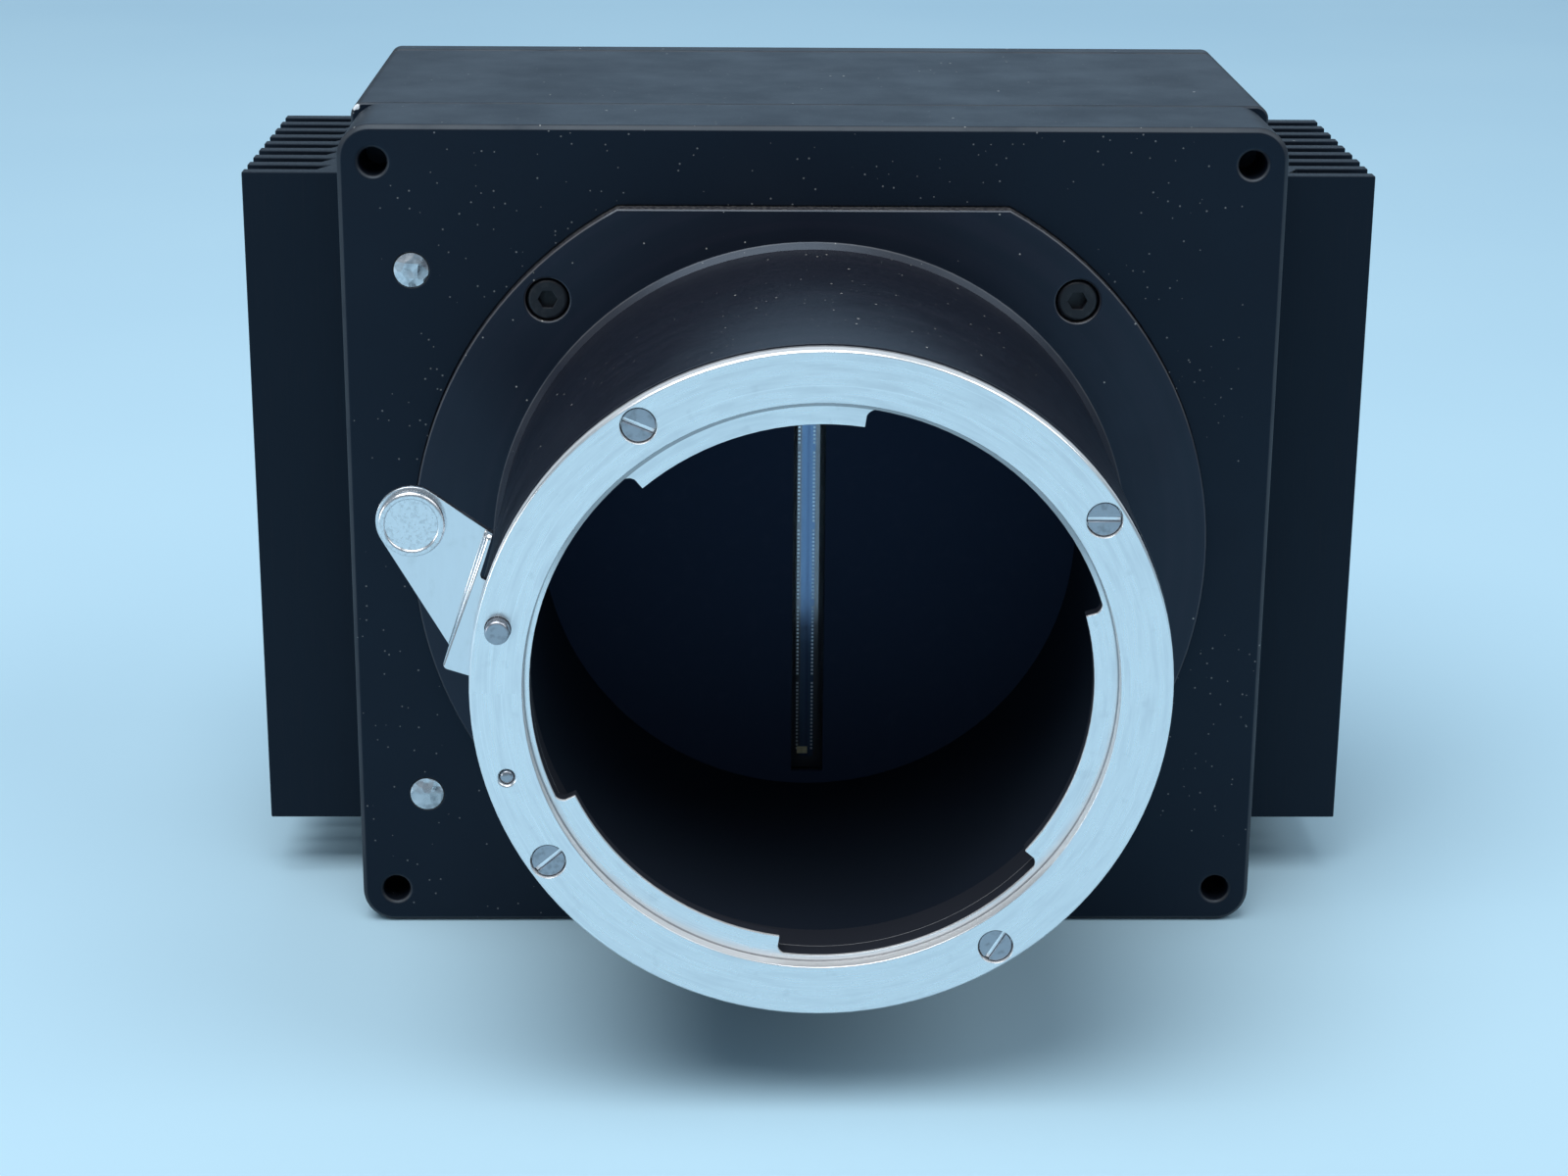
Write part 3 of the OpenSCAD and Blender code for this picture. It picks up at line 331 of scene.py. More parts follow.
body = Finish("black_anodise", (0.0042, 0.0064, 0.0125), 0.45)
body.shader.inputs["Specular IOR Level"].default_value = 0.27
body.shader.inputs["Specular Tint"].default_value = BLUE_REFLECTION_TINT
body.paint(body.ramp(body.noise(22.0, 3.0), 0.45, 0.75, 0.0, 0.5), (0.0075, 0.0095, 0.0155))
body.paint(settled(body, 0.055), (0.15, 0.17, 0.20))
body.paint(worn_and_lit_edges(body), (0.06, 0.062, 0.067))
body.paint(dust(body, 1.1, 0.5, 0.12, PLATE_HEAP), (0.36, 0.36, 0.35))
body.paint(dust(body, 0.5, 0.4, 0.17, PLATE_HEAP), (0.13, 0.135, 0.14))
rag = body.calc("MULTIPLY", body.noise(0.5, 2.0), NICK_RAG * MM)
ragged = body.calc("ADD", body.away_from(NICK), rag)
body.paint(body.ramp(ragged, NICK_R * MM, (NICK_R + 0.15) * MM, 1.0, 0.0), (0.75, 0.76, 0.78))
body.polish(body.noise(7.0, 3.0), 0.36, 0.52)
body.bump(body.noise(0.22, 2.0), 0.006)
keep("black_anodised", body)

# %% [markdown]
# The heat sinks are extruded, so fine lines run along the die's direction, straight up. A noise
# that is stretched about thirty times in Z makes them.

# %% Extruded black
DRAWN = (1, 1, 0.03)

sink = Finish("extruded_black", (0.0038, 0.0058, 0.011), 0.5)
sink.shader.inputs["Specular IOR Level"].default_value = 0.25
# The blue specular tint is a painted reflection of blue surroundings.
sink.shader.inputs["Specular Tint"].default_value = BLUE_REFLECTION_TINT
draw = sink.noise(0.25, 2.0, sink.stretch(DRAWN))
sink.paint(sink.ramp(draw, 0.5, 0.8, 0.0, 0.5), (0.009, 0.011, 0.017))
sink.paint(settled(sink, 0.08), (0.15, 0.17, 0.20))
sink.paint(dust(sink, 1.3, 0.2, 0.11), (0.26, 0.26, 0.25))
sink.polish(draw, 0.4, 0.6)
sink.bump(draw, 0.008)
keep("sink_black", sink)

# %% [markdown]
# The adapter's tube and flange were turned before anodising, so they keep a longer sheen than the
# plate, with the tool's fine rings in it. The dye took a faint purple cast, and its blue specular
# tint is a painted reflection. The bevel at the tube's foot carries a painted highlight only along
# its rim. Dust lies thickly on the ledge that the flange's edge makes in front of the plate. The
# bore is a light trap, so inside that radius the finish turns to dull black.

# %% Turned black
TUBE_R = 28.4
FOOT_RIM = 28.85
LEDGE_R = 30.0
BORE_R = 25.3
TUBE_HEAP = (7, 20, 28)

tube = Finish("turned_black", (0.0062, 0.0078, 0.0142), 0.34)
tube.shader.inputs["Specular IOR Level"].default_value = 0.42
# Painted reflection: a blue specular tint that stands in for blue surroundings.
tube.shader.inputs["Specular Tint"].default_value = (0.6, 0.78, 1.0, 1)
rings = turned_rings(tube, 0.12)
broad_rings = turned_rings(tube, 1.3, 0.6)
from_axis = tube.away_from_axis()
tube.paint(tube.ramp(broad_rings, 0.42, 0.7, 0.0, 0.7), (0.0105, 0.0105, 0.0185))
tube.paint(settled(tube, 0.05), (0.15, 0.16, 0.19))
# Painted highlight: only the rim of the foot's bevel keeps the pale edge paint, as a thin bright line.
bevel_face = tube.calc("MULTIPLY", tube.ramp(from_axis, (TUBE_R - 0.1) * MM, TUBE_R * MM),
                       tube.ramp(from_axis, FOOT_RIM * MM, (FOOT_RIM + 0.1) * MM, 0.8, 0.0))
on_ledge = tube.ramp(from_axis, (LEDGE_R - 0.2) * MM, LEDGE_R * MM)
tube.paint(tube.calc("MULTIPLY", settled(tube, 0.6), on_ledge), (0.16, 0.155, 0.15))
worn_and_lit = worn_and_lit_edges(tube)
off_bevel = tube.calc("SUBTRACT", worn_and_lit, tube.calc("MULTIPLY", worn_and_lit, bevel_face))
tube.paint(off_bevel, (0.085, 0.082, 0.085))
tube.paint(dust(tube, 0.9, 0.5, 0.13, TUBE_HEAP), (0.42, 0.41, 0.39))
tube.paint(dust(tube, 0.45, 0.4, 0.16, TUBE_HEAP), (0.17, 0.17, 0.17))
inside = tube.ramp(from_axis, (BORE_R - 0.1) * MM, (BORE_R + 0.1) * MM, 1.0, 0.0)
tube.paint(inside, (0.0055, 0.009, 0.018))
tube.polish(tube.noise(5.0, 3.0), 0.27, 0.41)
tube.dull(inside, 0.9)
tube.bump(rings, 0.003)
keep("tube_black", tube)

# %% [markdown]
# The lens ring is the bright piece: turned and lapped metal, with fine circular marks on its face.
# It is a pure metal, so its colour is the colour of its reflections. Its rim and the wall of its
# recess are only turned, and the coarse rings spread the light from above, so every wall that runs
# along the axis is rougher. Painted shade darkens the corner of the recess, broader at the top.
# Behind the lugs the throat is lacquered black against stray light, so there we take the metal
# away, and a thin bare line at the edge of the undercut is a painted glint of that edge.

# %% Lapped ring metal
RECESS_DEPTH = 1.2
LACQUER_R = 23.78
LACQUER_Y = 1.45
UNDERCUT_Y = 3.2
PAINTED_SHADE_R, TOP_PAINTED_SHADE_R = 23.8, 23.45
TOP_START, TOP_FULL = 6, 14

ring = Finish("lapped_ring", (0.80, 0.81, 0.82), 0.28, 1.0)
marks = turned_rings(ring, 0.10)
arcs = turned_rings(ring, 0.5, 3.0)
radius = ring.away_from_axis()
ring_place = ring.split(ring.place)
depth = ring_place["Y"]
ring.paint(ring.ramp(arcs, 0.45, 0.7, 0.0, 0.4), (0.66, 0.68, 0.71))
ring.paint(ring.ramp(ring.noise(1.6, 4.0), 0.60, 0.72, 0.0, 0.3), (0.60, 0.61, 0.63))
ring.paint(ring.ramp(marks, 0.60, 0.68, 0.0, 0.5), (0.93, 0.94, 0.95))
ring.polish(arcs, 0.2, 0.38)
wall = ring.ramp(ring.calc("ABSOLUTE", facing(ring)["Y"]), 0.3, 0.6, 1.0, 0.0)
ring.dull(wall, 0.75)
# Painted shade: a dark line in the corner of the recess, broader at the top, where the wall shades the
# floor.
at_top = ring.calc("MULTIPLY", ring.ramp(radius, TOP_PAINTED_SHADE_R * MM, (TOP_PAINTED_SHADE_R + 0.05) * MM),
                   ring.ramp(ring_place["Z"], TOP_START * MM, TOP_FULL * MM))
in_corner = ring.calc("MAXIMUM", at_top, ring.ramp(radius, PAINTED_SHADE_R * MM, (PAINTED_SHADE_R + 0.12) * MM))
on_floor = ring.ramp(depth, (RECESS_DEPTH - 0.12) * MM, (RECESS_DEPTH - 0.02) * MM, 0.0, 0.75)
ring.paint(ring.calc("MULTIPLY", in_corner, on_floor), (0.20, 0.20, 0.21))
in_throat = ring.ramp(radius, (LACQUER_R - 0.02) * MM, (LACQUER_R + 0.02) * MM, 1.0, 0.0)
behind_lugs = ring.ramp(depth, LACQUER_Y * MM, (LACQUER_Y + 0.05) * MM)
lacquer = ring.calc("MULTIPLY", in_throat, behind_lugs)
# Painted highlight: a thin line of bare metal at the undercut's edge stands in for its glint.
from_undercut = ring.calc("ABSOLUTE", ring.calc("SUBTRACT", depth, UNDERCUT_Y * MM))
rubbed_and_glint = ring.ramp(from_undercut, 0.04 * MM, 0.12 * MM, 0.7, 0.0)
lacquer = ring.calc("SUBTRACT", lacquer, ring.calc("MULTIPLY", lacquer, rubbed_and_glint))
ring.paint(lacquer, (0.006, 0.009, 0.018))
ring.feed(ring.shader.inputs["Metallic"], ring.ramp(lacquer, 0.0, 1.0, 1.0, 0.0))
ring.bump(marks, 0.004)
ring.bump(ring.noise(0.35, 3.0), 0.001)
keep("mount_steel", ring)

# %% [markdown]
# The lever is plated sheet. It is smoother than the ring, with a rolled grain and small dents, so
# the reflections wobble. The grain comes from a noise that is stretched in Z.

# %% Plated lever metal
ROLLED = (1, 1, 0.08)

lever = Finish("plated_lever", (0.72, 0.73, 0.75), 0.18, 1.0)
rolled = lever.noise(0.2, 2.0, lever.stretch(ROLLED))
lever.paint(lever.ramp(lever.noise(1.4, 4.0), 0.55, 0.75, 0.0, 0.6), (0.62, 0.63, 0.64))
lever.polish(rolled, 0.14, 0.28)
lever.bump(rolled, 0.0015)
lever.bump(lever.noise(2.4, 2.0), 0.02)
keep("lever_steel", lever)

# %% [markdown]
# The button on the lever is left as it came from the press. It is a piece of its own, so it gets a
# finish of its own, in which one coarse grain drives the colour, the roughness and the bump.

# %% Pressed button metal
pressed = Finish("pressed_button", (0.74, 0.75, 0.77), 0.2, 1.0)
press_grain = pressed.noise(0.28, 3.0)
pressed.paint(pressed.ramp(press_grain, 0.45, 0.7, 0.0, 0.7), (0.56, 0.57, 0.59))
pressed.polish(press_grain, 0.16, 0.36)
pressed.bump(press_grain, 0.012)
print("button finish has", len(pressed.tree.nodes), "nodes")

# %% [markdown]
# Screws, pins and plugs are small, so their finish is simple: a grain that is fine against the
# head, darker spots where oil and dirt sit, and for the black screws an oxide coat. The floors of
# the slots are painted bright. The plugs are soft metal pressed into holes. The press left facets
# on them, which a Voronoi texture gives as bump.

# %% Screw and plug metals
SLOT_DEPTH = 0.3
FACET = 1.1
slot_floor = box_mm("bayonet_screws")[0].y + SLOT_DEPTH

steel = Finish("screw_steel", (0.36, 0.38, 0.42), 0.32, 1.0)
steel.paint(steel.ramp(steel.noise(0.6, 3.0), 0.5, 0.7, 0.0, 0.7), (0.24, 0.25, 0.27))
steel.polish(steel.noise(0.4, 2.0), 0.24, 0.42)
floor_start, floor_end = slot_floor - 0.1, slot_floor + 0.15
steel_depth = steel.split(steel.place)["Y"]
in_slot = steel.calc("MULTIPLY", steel.ramp(steel_depth, floor_start * MM, (floor_start + 0.05) * MM),
                     steel.ramp(steel_depth, (floor_end - 0.05) * MM, floor_end * MM, 1.0, 0.0))
forwards = steel.ramp(steel.calc("ABSOLUTE", facing(steel)["Y"]), 0.8, 0.95)
steel.paint(steel.calc("MULTIPLY", in_slot, forwards), (0.92, 0.93, 0.95))
steel.bump(steel.noise(0.25, 2.0), 0.004)
keep("screw_steel", steel)

oxide = Finish("black_oxide", (0.010, 0.012, 0.017), 0.4, 0.3)
oxide.paint(oxide.ramp(oxide.noise(0.5, 3.0), 0.5, 0.72, 0.0, 0.8), (0.022, 0.023, 0.027))
oxide.polish(oxide.noise(0.8, 2.0), 0.3, 0.5)
oxide.bump(oxide.noise(0.2, 2.0), 0.004)
keep("screw_black", oxide)

plug = Finish("pressed_plug", (0.62, 0.64, 0.67), 0.3, 1.0)
facets = plug.add("ShaderNodeTexVoronoi")
plug.feed(facets.inputs["Vector"], plug.place)
facets.inputs["Scale"].default_value = 1 / (FACET * MM)
plug.paint(plug.ramp(plug.noise(0.8, 3.0), 0.5, 0.7, 0.0, 0.7), (0.42, 0.44, 0.47))
plug.polish(plug.noise(0.7, 2.0), 0.2, 0.42)
plug.bump(facets.outputs["Distance"], 0.22)
plug.bump(plug.noise(0.5, 2.0), 0.03)
keep("plug_metal", plug)

# %% [markdown]
# In the throat sits a matt black mask, lifted to navy as painted light against the throat's shade,
# and behind its slit the sensor's window and chip. The chip is polished silicon with a blue coat,
# so it mirrors whatever light comes in through the ring. The window is coated against reflections,
# which a low refractive index stands for, and has no roughness map: a smudge would be as large as the
# chip.

# %% Sensor finishes
COAT_X, LINE_X = 0.64, 0.13

# Painted light: the mask's colour is lifted from black to navy against the shade of the throat.
mask = Finish("matt_mask", (0.020, 0.037, 0.082), 0.75)
mask.shader.inputs["Specular IOR Level"].default_value = 0.25
mask.paint(mask.ramp(mask.noise(1.5, 3.0), 0.5, 0.75, 0.0, 0.6), (0.025, 0.042, 0.088))
mask.paint(dust(mask, 1.2, 0.08, 0.1), (0.15, 0.15, 0.14))
mask.bump(mask.noise(0.2, 2.0), 0.01)
keep("mask_black", mask)

silicon = Finish("sensor_silicon", (0.18, 0.27, 0.42), 0.12, 0.7)
from_line = silicon.calc("ABSOLUTE", silicon.split(silicon.place)["X"])
past_coat = silicon.ramp(from_line, (COAT_X - 0.02) * MM, (COAT_X + 0.02) * MM)
silicon.paint(past_coat, (0.25, 0.24, 0.25))
near_line = silicon.ramp(from_line, (LINE_X - 0.03) * MM, (LINE_X + 0.03) * MM, 0.5, 0.0)
silicon.paint(near_line, (0.10, 0.14, 0.26))
silicon.polish(silicon.noise(0.8, 2.0), 0.08, 0.2)
silicon.bump(silicon.noise(3.0, 2.0), 0.002)
keep("sensor_silicon", silicon)

window = Finish("sensor_window", (0.93, 0.97, 1.0), 0.01)
window.shader.inputs["Transmission Weight"].default_value = 1.0
window.shader.inputs["IOR"].default_value = 1.1
window.bump(window.noise(6.0, 1.0), 0.0004)
keep("sensor_glass", window)

ceramic = Finish("package_ceramic", (0.032, 0.038, 0.052), 0.6)
ceramic.paint(ceramic.ramp(ceramic.noise(0.4, 3.0), 0.5, 0.7, 0.0, 0.6), (0.045, 0.050, 0.062))
ceramic.bump(ceramic.noise(0.15, 2.0), 0.008)
keep("sensor_ceramic", ceramic)

# %% [markdown]
# Inside the body are boards, stand-offs and plastics. Nobody sees them until the camera is opened,
# but they are part of the object. A circuit board gets its traces from a brick pattern under a
# green lacquer, and its gilt spots from the same specks as the dust. The others share one recipe:
# two tones, a range of roughness and a grain.

# %% Inner finishes
TRACE_SCALE, TRACE_GAP = 260, 0.035

board = Finish("board_lacquer", (0.012, 0.085, 0.035), 0.34)
across_board = board.split(board.place)
traces = board.add("ShaderNodeTexBrick")
board.feed(traces.inputs["Vector"], board.join(across_board["X"], across_board["Z"], 0.0))
traces.inputs["Scale"].default_value = TRACE_SCALE
traces.inputs["Mortar Size"].default_value = TRACE_GAP
board.paint(board.calc("MULTIPLY", traces.outputs["Fac"], 0.8), (0.035, 0.19, 0.07))
board.paint(dust(board, 2.2, 0.5, 0.16), (0.55, 0.42, 0.15))
board.bump(traces.outputs["Fac"], 0.03)
board.polish(board.noise(5.0, 2.0), 0.26, 0.42)
keep("board_green", board)


def two_tone(slot, name, colour, other, rough, metal, grain_mm, depth_mm):
    made = Finish(name, colour, rough, metal)
    made.paint(made.ramp(made.noise(4 * grain_mm, 3.0), 0.42, 0.68, 0.0, 0.9), other)
    made.polish(made.noise(2 * grain_mm, 2.0), rough - 0.08, rough + 0.1)
    made.bump(made.noise(grain_mm, 2.0), depth_mm)
    keep(slot, made)
    return made


two_tone("seal_rubber", "seal_rubber", (0.016, 0.016, 0.017), (0.028, 0.028, 0.028),
         0.65, 0.0, 0.3, 0.02)
two_tone("foam", "soft_foam", (0.03, 0.036, 0.05), (0.05, 0.056, 0.07),
         0.85, 0.0, 0.4, 0.12)
two_tone("chip_black", "moulded_chip", (0.017, 0.017, 0.018), (0.03, 0.03, 0.031),
         0.55, 0.0, 0.2, 0.01)
two_tone("pad_grey", "soft_pad", (0.36, 0.39, 0.43), (0.46, 0.48, 0.51),
         0.7, 0.0, 0.5, 0.05)
two_tone("bridge_aluminium", "milled_aluminium", (0.74, 0.75, 0.76), (0.64, 0.65, 0.67),
         0.34, 1.0, 0.3, 0.006)
two_tone("standoff_brass", "turned_brass", (0.70, 0.50, 0.20), (0.58, 0.40, 0.15),
         0.3, 1.0, 0.3, 0.006)
two_tone("link_plastic", "link_plastic", (0.62, 0.57, 0.47), (0.70, 0.65, 0.55),
         0.5, 0.0, 0.4, 0.01)
two_tone("coil_ferrite", "pressed_ferrite", (0.045, 0.045, 0.048), (0.075, 0.073, 0.072),
         0.6, 0.0, 0.25, 0.02)
two_tone("shell_nickel", "socket_nickel", (0.63, 0.62, 0.59), (0.50, 0.49, 0.47),
         0.3, 1.0, 0.35, 0.004)
two_tone("insert_plastic", "socket_plastic", (0.016, 0.016, 0.018), (0.028, 0.028, 0.029),
         0.48, 0.0, 0.3, 0.008)
two_tone("contact_gold", "contact_gold", (0.83, 0.60, 0.20), (0.72, 0.50, 0.16),
         0.25, 1.0, 0.2, 0.003)
lamp = two_tone("light_lens", "light_lens", (0.36, 0.72, 0.38), (0.46, 0.80, 0.46),
                0.25, 0.0, 0.5, 0.006)
lamp.shader.inputs["Transmission Weight"].default_value = 0.4

# %% [markdown]
# The record says which finish slot each solid has. We put the matching material on every CAD node;
# the meshes stay as they are.

# %% Dress the solids
slot_of = {part["node"]: part["material_slot"] for part in frame["record"]["subparts"]}
for name, solid in frame["nodes"].items():
    solid.data.materials.clear()
    solid.data.materials.append(finishes[slot_of[name]].material)
print("dressed", len(frame["nodes"]), "solids")

# %% [markdown]
# A machined edge is never perfectly sharp: it is broken with a file or tumbled, and the thin round
# catches the light. CAD leaves most edges sharp, so for the pieces that show we copy the solid's
# mesh, merge its loose triangles, join the flat ones back into whole faces, and bevel the sharp
# edges. Weighted normals keep the flats flat. Two of the Bevel tool's habits are off: it would
# narrow a whole piece's bevel for its shortest edge, and it would slide new points along the edges
# that lie in a flat face. The helpers work on any piece; what follows uses them again and again.


# %% Helpers for the pieces that show
SAME_PLACE = 1e-7
FLAT_ANGLE = math.radians(0.2)
SMOOTH_ANGLE = math.radians(35)
EDGE_STEPS, FLAT_WEIGHT = 2, 80
CLOSE = 0.01


def only(thing):
    bpy.ops.object.select_all(action="DESELECT")
    thing.select_set(True)
    bpy.context.view_layer.objects.active = thing


def apply_modifier(thing, kind, **settings):
    made = thing.modifiers.new(kind.lower(), kind)
    for name, value in settings.items():
        setattr(made, name, value)
    only(thing)
    bpy.ops.object.modifier_apply(modifier=made.name)


def pick(piece, kind, test):
    """Select the edges or faces whose points all pass the test, and stay in edit mode."""
    only(piece)
    bpy.ops.object.mode_set(mode="EDIT")
    bpy.ops.mesh.select_mode(type=kind)
    bpy.ops.mesh.select_all(action="DESELECT")
    bpy.ops.object.mode_set(mode="OBJECT")
    points = piece.data.vertices
    for item in piece.data.edges if kind == "EDGE" else piece.data.polygons:
        item.select = all(test(points[end].co / MM) for end in item.vertices)
    bpy.ops.object.mode_set(mode="EDIT")


def round_off(piece, test, width_mm, steps):
    """Bevel the picked edges by their own width."""
    pick(piece, "EDGE", test)
    bpy.ops.mesh.bevel(offset=width_mm * MM, segments=steps, affect="EDGES", loop_slide=False)
    bpy.ops.object.mode_set(mode="OBJECT")


def copy_of(node):
    """A copy of a solid's mesh, with its triangles joined into whole faces."""
    piece = bpy.data.objects.new(node + "_finished", frame["nodes"][node].data.copy())
    bpy.context.scene.collection.objects.link(piece)
    only(piece)
    bpy.ops.object.mode_set(mode="EDIT")
    bpy.ops.mesh.select_all(action="SELECT")
    bpy.ops.mesh.remove_doubles(threshold=SAME_PLACE)
    bpy.ops.mesh.dissolve_limited(angle_limit=FLAT_ANGLE)
    bpy.ops.object.mode_set(mode="OBJECT")
    return piece


def break_edges(piece, width_mm, least_angle=SMOOTH_ANGLE):
    """Bevel every edge that turns by more than the least angle."""
    apply_modifier(piece, "BEVEL", width=width_mm * MM, segments=EDGE_STEPS, limit_method="ANGLE",
                   angle_limit=least_angle, use_clamp_overlap=False, loop_slide=False)
    bpy.ops.object.shade_smooth_by_angle(angle=SMOOTH_ANGLE)
    apply_modifier(piece, "WEIGHTED_NORMAL", keep_sharp=True, weight=FLAT_WEIGHT)


def hand_over(piece, node, body_name="camera"):
    """The piece takes the solid's place: the solid is hidden, and the piece rides on the given body."""
    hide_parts(node)
    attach(piece, body_name)
    print(piece.name, len(piece.data.polygons), "faces")


# %% [markdown]
# Six nodes need nothing but broken edges: the shell, the rear cover, three sets of screws and the
# index stud. One loop copies each, breaks its edges and hands the copy over. The widths are in
# millimetres. The stud's end is nearly a dome, so its width is the largest.

# %% Plain machined pieces
EDGE_WIDTHS = {"body_shell": 0.06, "rear_cover": 0.05, "bayonet_screws": 0.06,
               "jack_screws": 0.08, "body_screws": 0.06, "index_stud": 0.3}
for node, width in EDGE_WIDTHS.items():
    piece = copy_of(node)
    break_edges(piece, width)
    hand_over(piece, node)

# %% [markdown]
# The ring's edges are broken finely. Two are rounder: the rim of the recess, which lenses slide
# over, and the mouth of the index stud's hole, which is countersunk. The stud stands in the middle
# of that hole, so its box says where it is.

# %% Lens ring
SINK_R, SINK_W = 0.8, 0.25
RECESS_R, RECESS_ROUND = 24.0, 0.1
RING_EDGE = 0.04
stud_low, stud_high = box_mm("index_stud")
stud_middle = (stud_low + stud_high) / 2


def at_stud_hole(p):
    return math.hypot(p.x - stud_middle.x, p.z - stud_middle.z) < SINK_R and p.y < CLOSE


def on_recess_rim(p):
    return abs(math.hypot(p.x, p.z) - RECESS_R) < 2 * CLOSE and p.y < CLOSE


ring_piece = copy_of("bayonet_ring")
round_off(ring_piece, at_stud_hole, SINK_W, 3)
round_off(ring_piece, on_recess_rim, RECESS_ROUND, 3)
break_edges(ring_piece, RING_EDGE)
hand_over(ring_piece, "bayonet_ring")

# %% [markdown]
# Four cap screws hold the adapter's flange. A cap screw's head is rounded round its rim, and its
# counterbore has a broken mouth, which draws a thin bright crescent on the lower side. Both are
# found by their distance from the nearest screw's axis.

# %% Adapter and its cap screws
HEAD_R, HEAD_ROUND = 1.85, 0.35
MOUTH_GAP, MOUTH_ROUND = 0.3, 0.2
SCREW_EDGE, ADAPTER_EDGE = 0.05, 0.06
screws_low, screws_high = box_mm("adapter_screws")
screw_x = screws_high.x - HEAD_R
screw_z = screws_high.z - HEAD_R


def from_cap_screw(p):
    return math.hypot(abs(p.x) - screw_x, abs(p.z) - screw_z)


def on_head_rim(p):
    return abs(from_cap_screw(p) - HEAD_R) < 2 * CLOSE and p.y < screws_low.y + CLOSE


def at_counterbore(p):
    return HEAD_R < from_cap_screw(p) < HEAD_R + MOUTH_GAP and p.y < screws_low.y


screws_piece = copy_of("adapter_screws")
round_off(screws_piece, on_head_rim, HEAD_ROUND, 4)
break_edges(screws_piece, SCREW_EDGE)
hand_over(screws_piece, "adapter_screws")

adapter_piece = copy_of("lens_adapter")
round_off(adapter_piece, at_counterbore, MOUTH_ROUND, 3)
break_edges(adapter_piece, ADAPTER_EDGE)
hand_over(adapter_piece, "lens_adapter")

# %% [markdown]
# The front plate's tapped corner holes are countersunk a little, so that a screw starts easily. We
# round the holes' front edges by more than the plate's other edges.

# %% Front plate
HOLE_X, HOLE_Z = 39.0, 34.8
HOLE_R, HOLE_ROUND = 1.25, 0.42
PLATE_EDGE = 0.12
plate_low, plate_high = box_mm("front_plate")
plate_middle_z = (plate_low.z + plate_high.z) / 2


def at_hole_mouth(p):
    from_hole = math.hypot(abs(p.x) - HOLE_X, abs(p.z - plate_middle_z) - HOLE_Z)
    return from_hole < HOLE_R + 5 * CLOSE and p.y < plate_low.y + CLOSE


plate_piece = copy_of("front_plate")
round_off(plate_piece, at_hole_mouth, HOLE_ROUND, 4)
break_edges(plate_piece, PLATE_EDGE)
hand_over(plate_piece, "front_plate")

# %% [markdown]
# The heat sinks' fins rise from rounded roots, because a sharp root would crack the extrusion die.
# We round the edges at the foot of each fin first, with a large width, and then break all the
# others.

# %% Heat sinks
SINK_BASE, ROOT_ROUND = 3.0, 0.55
FIN_EDGE = 0.12
root_x = plate_high.x + SINK_BASE


def at_fin_root(p):
    return abs(abs(p.x) - root_x) < CLOSE


for node in ("heat_sink_left", "heat_sink_right"):
    piece = copy_of(node)
    round_off(piece, at_fin_root, ROOT_ROUND, 4)
    break_edges(piece, FIN_EDGE)
    hand_over(piece, node)

# %% [markdown]
# The release lever is bent from sheet. Its line of bend is turned 162 degrees round the optical
# axis, so we measure across that line and along it. A short riser stands between the two bends. We
# round the outer and inner sides of the bends, the riser's two ends and the inner corner of the
# notch beside it. The bend comes before the upper end, because the Bevel tool rounds the second
# edge cleanly over the first only in that order.

# %% Lever
BEND = math.radians(162.2)
SHEET, BEND_U = 0.7, 29.5
TAB_Y, PLATE_Y = 1.9, 2.9
RISER_START, TAB_START, RISER_END = -4.0, -0.3, 7.9
BEND_ROUND, INNER_ROUND, REAR_ROUND = 0.6, 0.25, 0.45
LOWER_ROUND, NOTCH_ROUND, UPPER_ROUND = 0.4, 0.35, 0.5
LEVER_EDGE, LEVER_ANGLE = 0.06, math.radians(60)


def across_bend(p):
    return p.x * math.cos(BEND) + p.z * math.sin(BEND)


def along_bend(p):
    return p.z * math.cos(BEND) - p.x * math.sin(BEND)


def near(value, target):
    return abs(value - target) < 3 * CLOSE


def on_bend(across, y):
    return lambda p: near(across_bend(p), across) and near(p.y, y)


def at_lower_end(p):
    return near(along_bend(p), RISER_END) and near(across_bend(p), BEND_U)


def in_notch(p):
    return near(along_bend(p), TAB_START) and near(across_bend(p), BEND_U - SHEET)


def at_upper_end(p):
    return near(along_bend(p), RISER_START) and p.y < TAB_Y + BEND_ROUND + CLOSE


lever_piece = copy_of("release_lever")
round_off(lever_piece, at_lower_end, LOWER_ROUND, 4)
round_off(lever_piece, in_notch, NOTCH_ROUND, 5)
round_off(lever_piece, on_bend(BEND_U, TAB_Y), BEND_ROUND, 8)
round_off(lever_piece, on_bend(BEND_U, PLATE_Y), INNER_ROUND, 4)
round_off(lever_piece, on_bend(BEND_U - SHEET, PLATE_Y + SHEET), REAR_ROUND, 4)
round_off(lever_piece, at_upper_end, UPPER_ROUND, 5)
break_edges(lever_piece, LEVER_EDGE, LEVER_ANGLE)
hand_over(lever_piece, "release_lever", "lens_release")

# %% [markdown]
# The button is a pressed stud riveted to the lever, with a rounded rim round a shallow dish. We
# start from a cylinder, inset its front face and push the inset back. On the rear we inset again,
# extrude the shank through the sheet, widen its end and extrude that into the rivet's head. Then
# the rim's two edges and the rivet's rear edge are rounded.

# %% Button
BUTTON_H, BUTTON_POINTS = 0.9, 128
DISH_RIM, DISH_DEPTH = 0.6, 0.15
RIVET_R, RIVET_HEAD_R = 1.0, 1.6
RIM_ROUND, DISH_ROUND, RIVET_ROUND = 0.32, 0.2, 0.25
button_low, button_high = box_mm("release_button")
button_middle = (button_low + button_high) / 2
button_r = (button_high.x - button_low.x) / 2
button_rear = button_low.y + BUTTON_H
rivet_rear = button_rear + SHEET


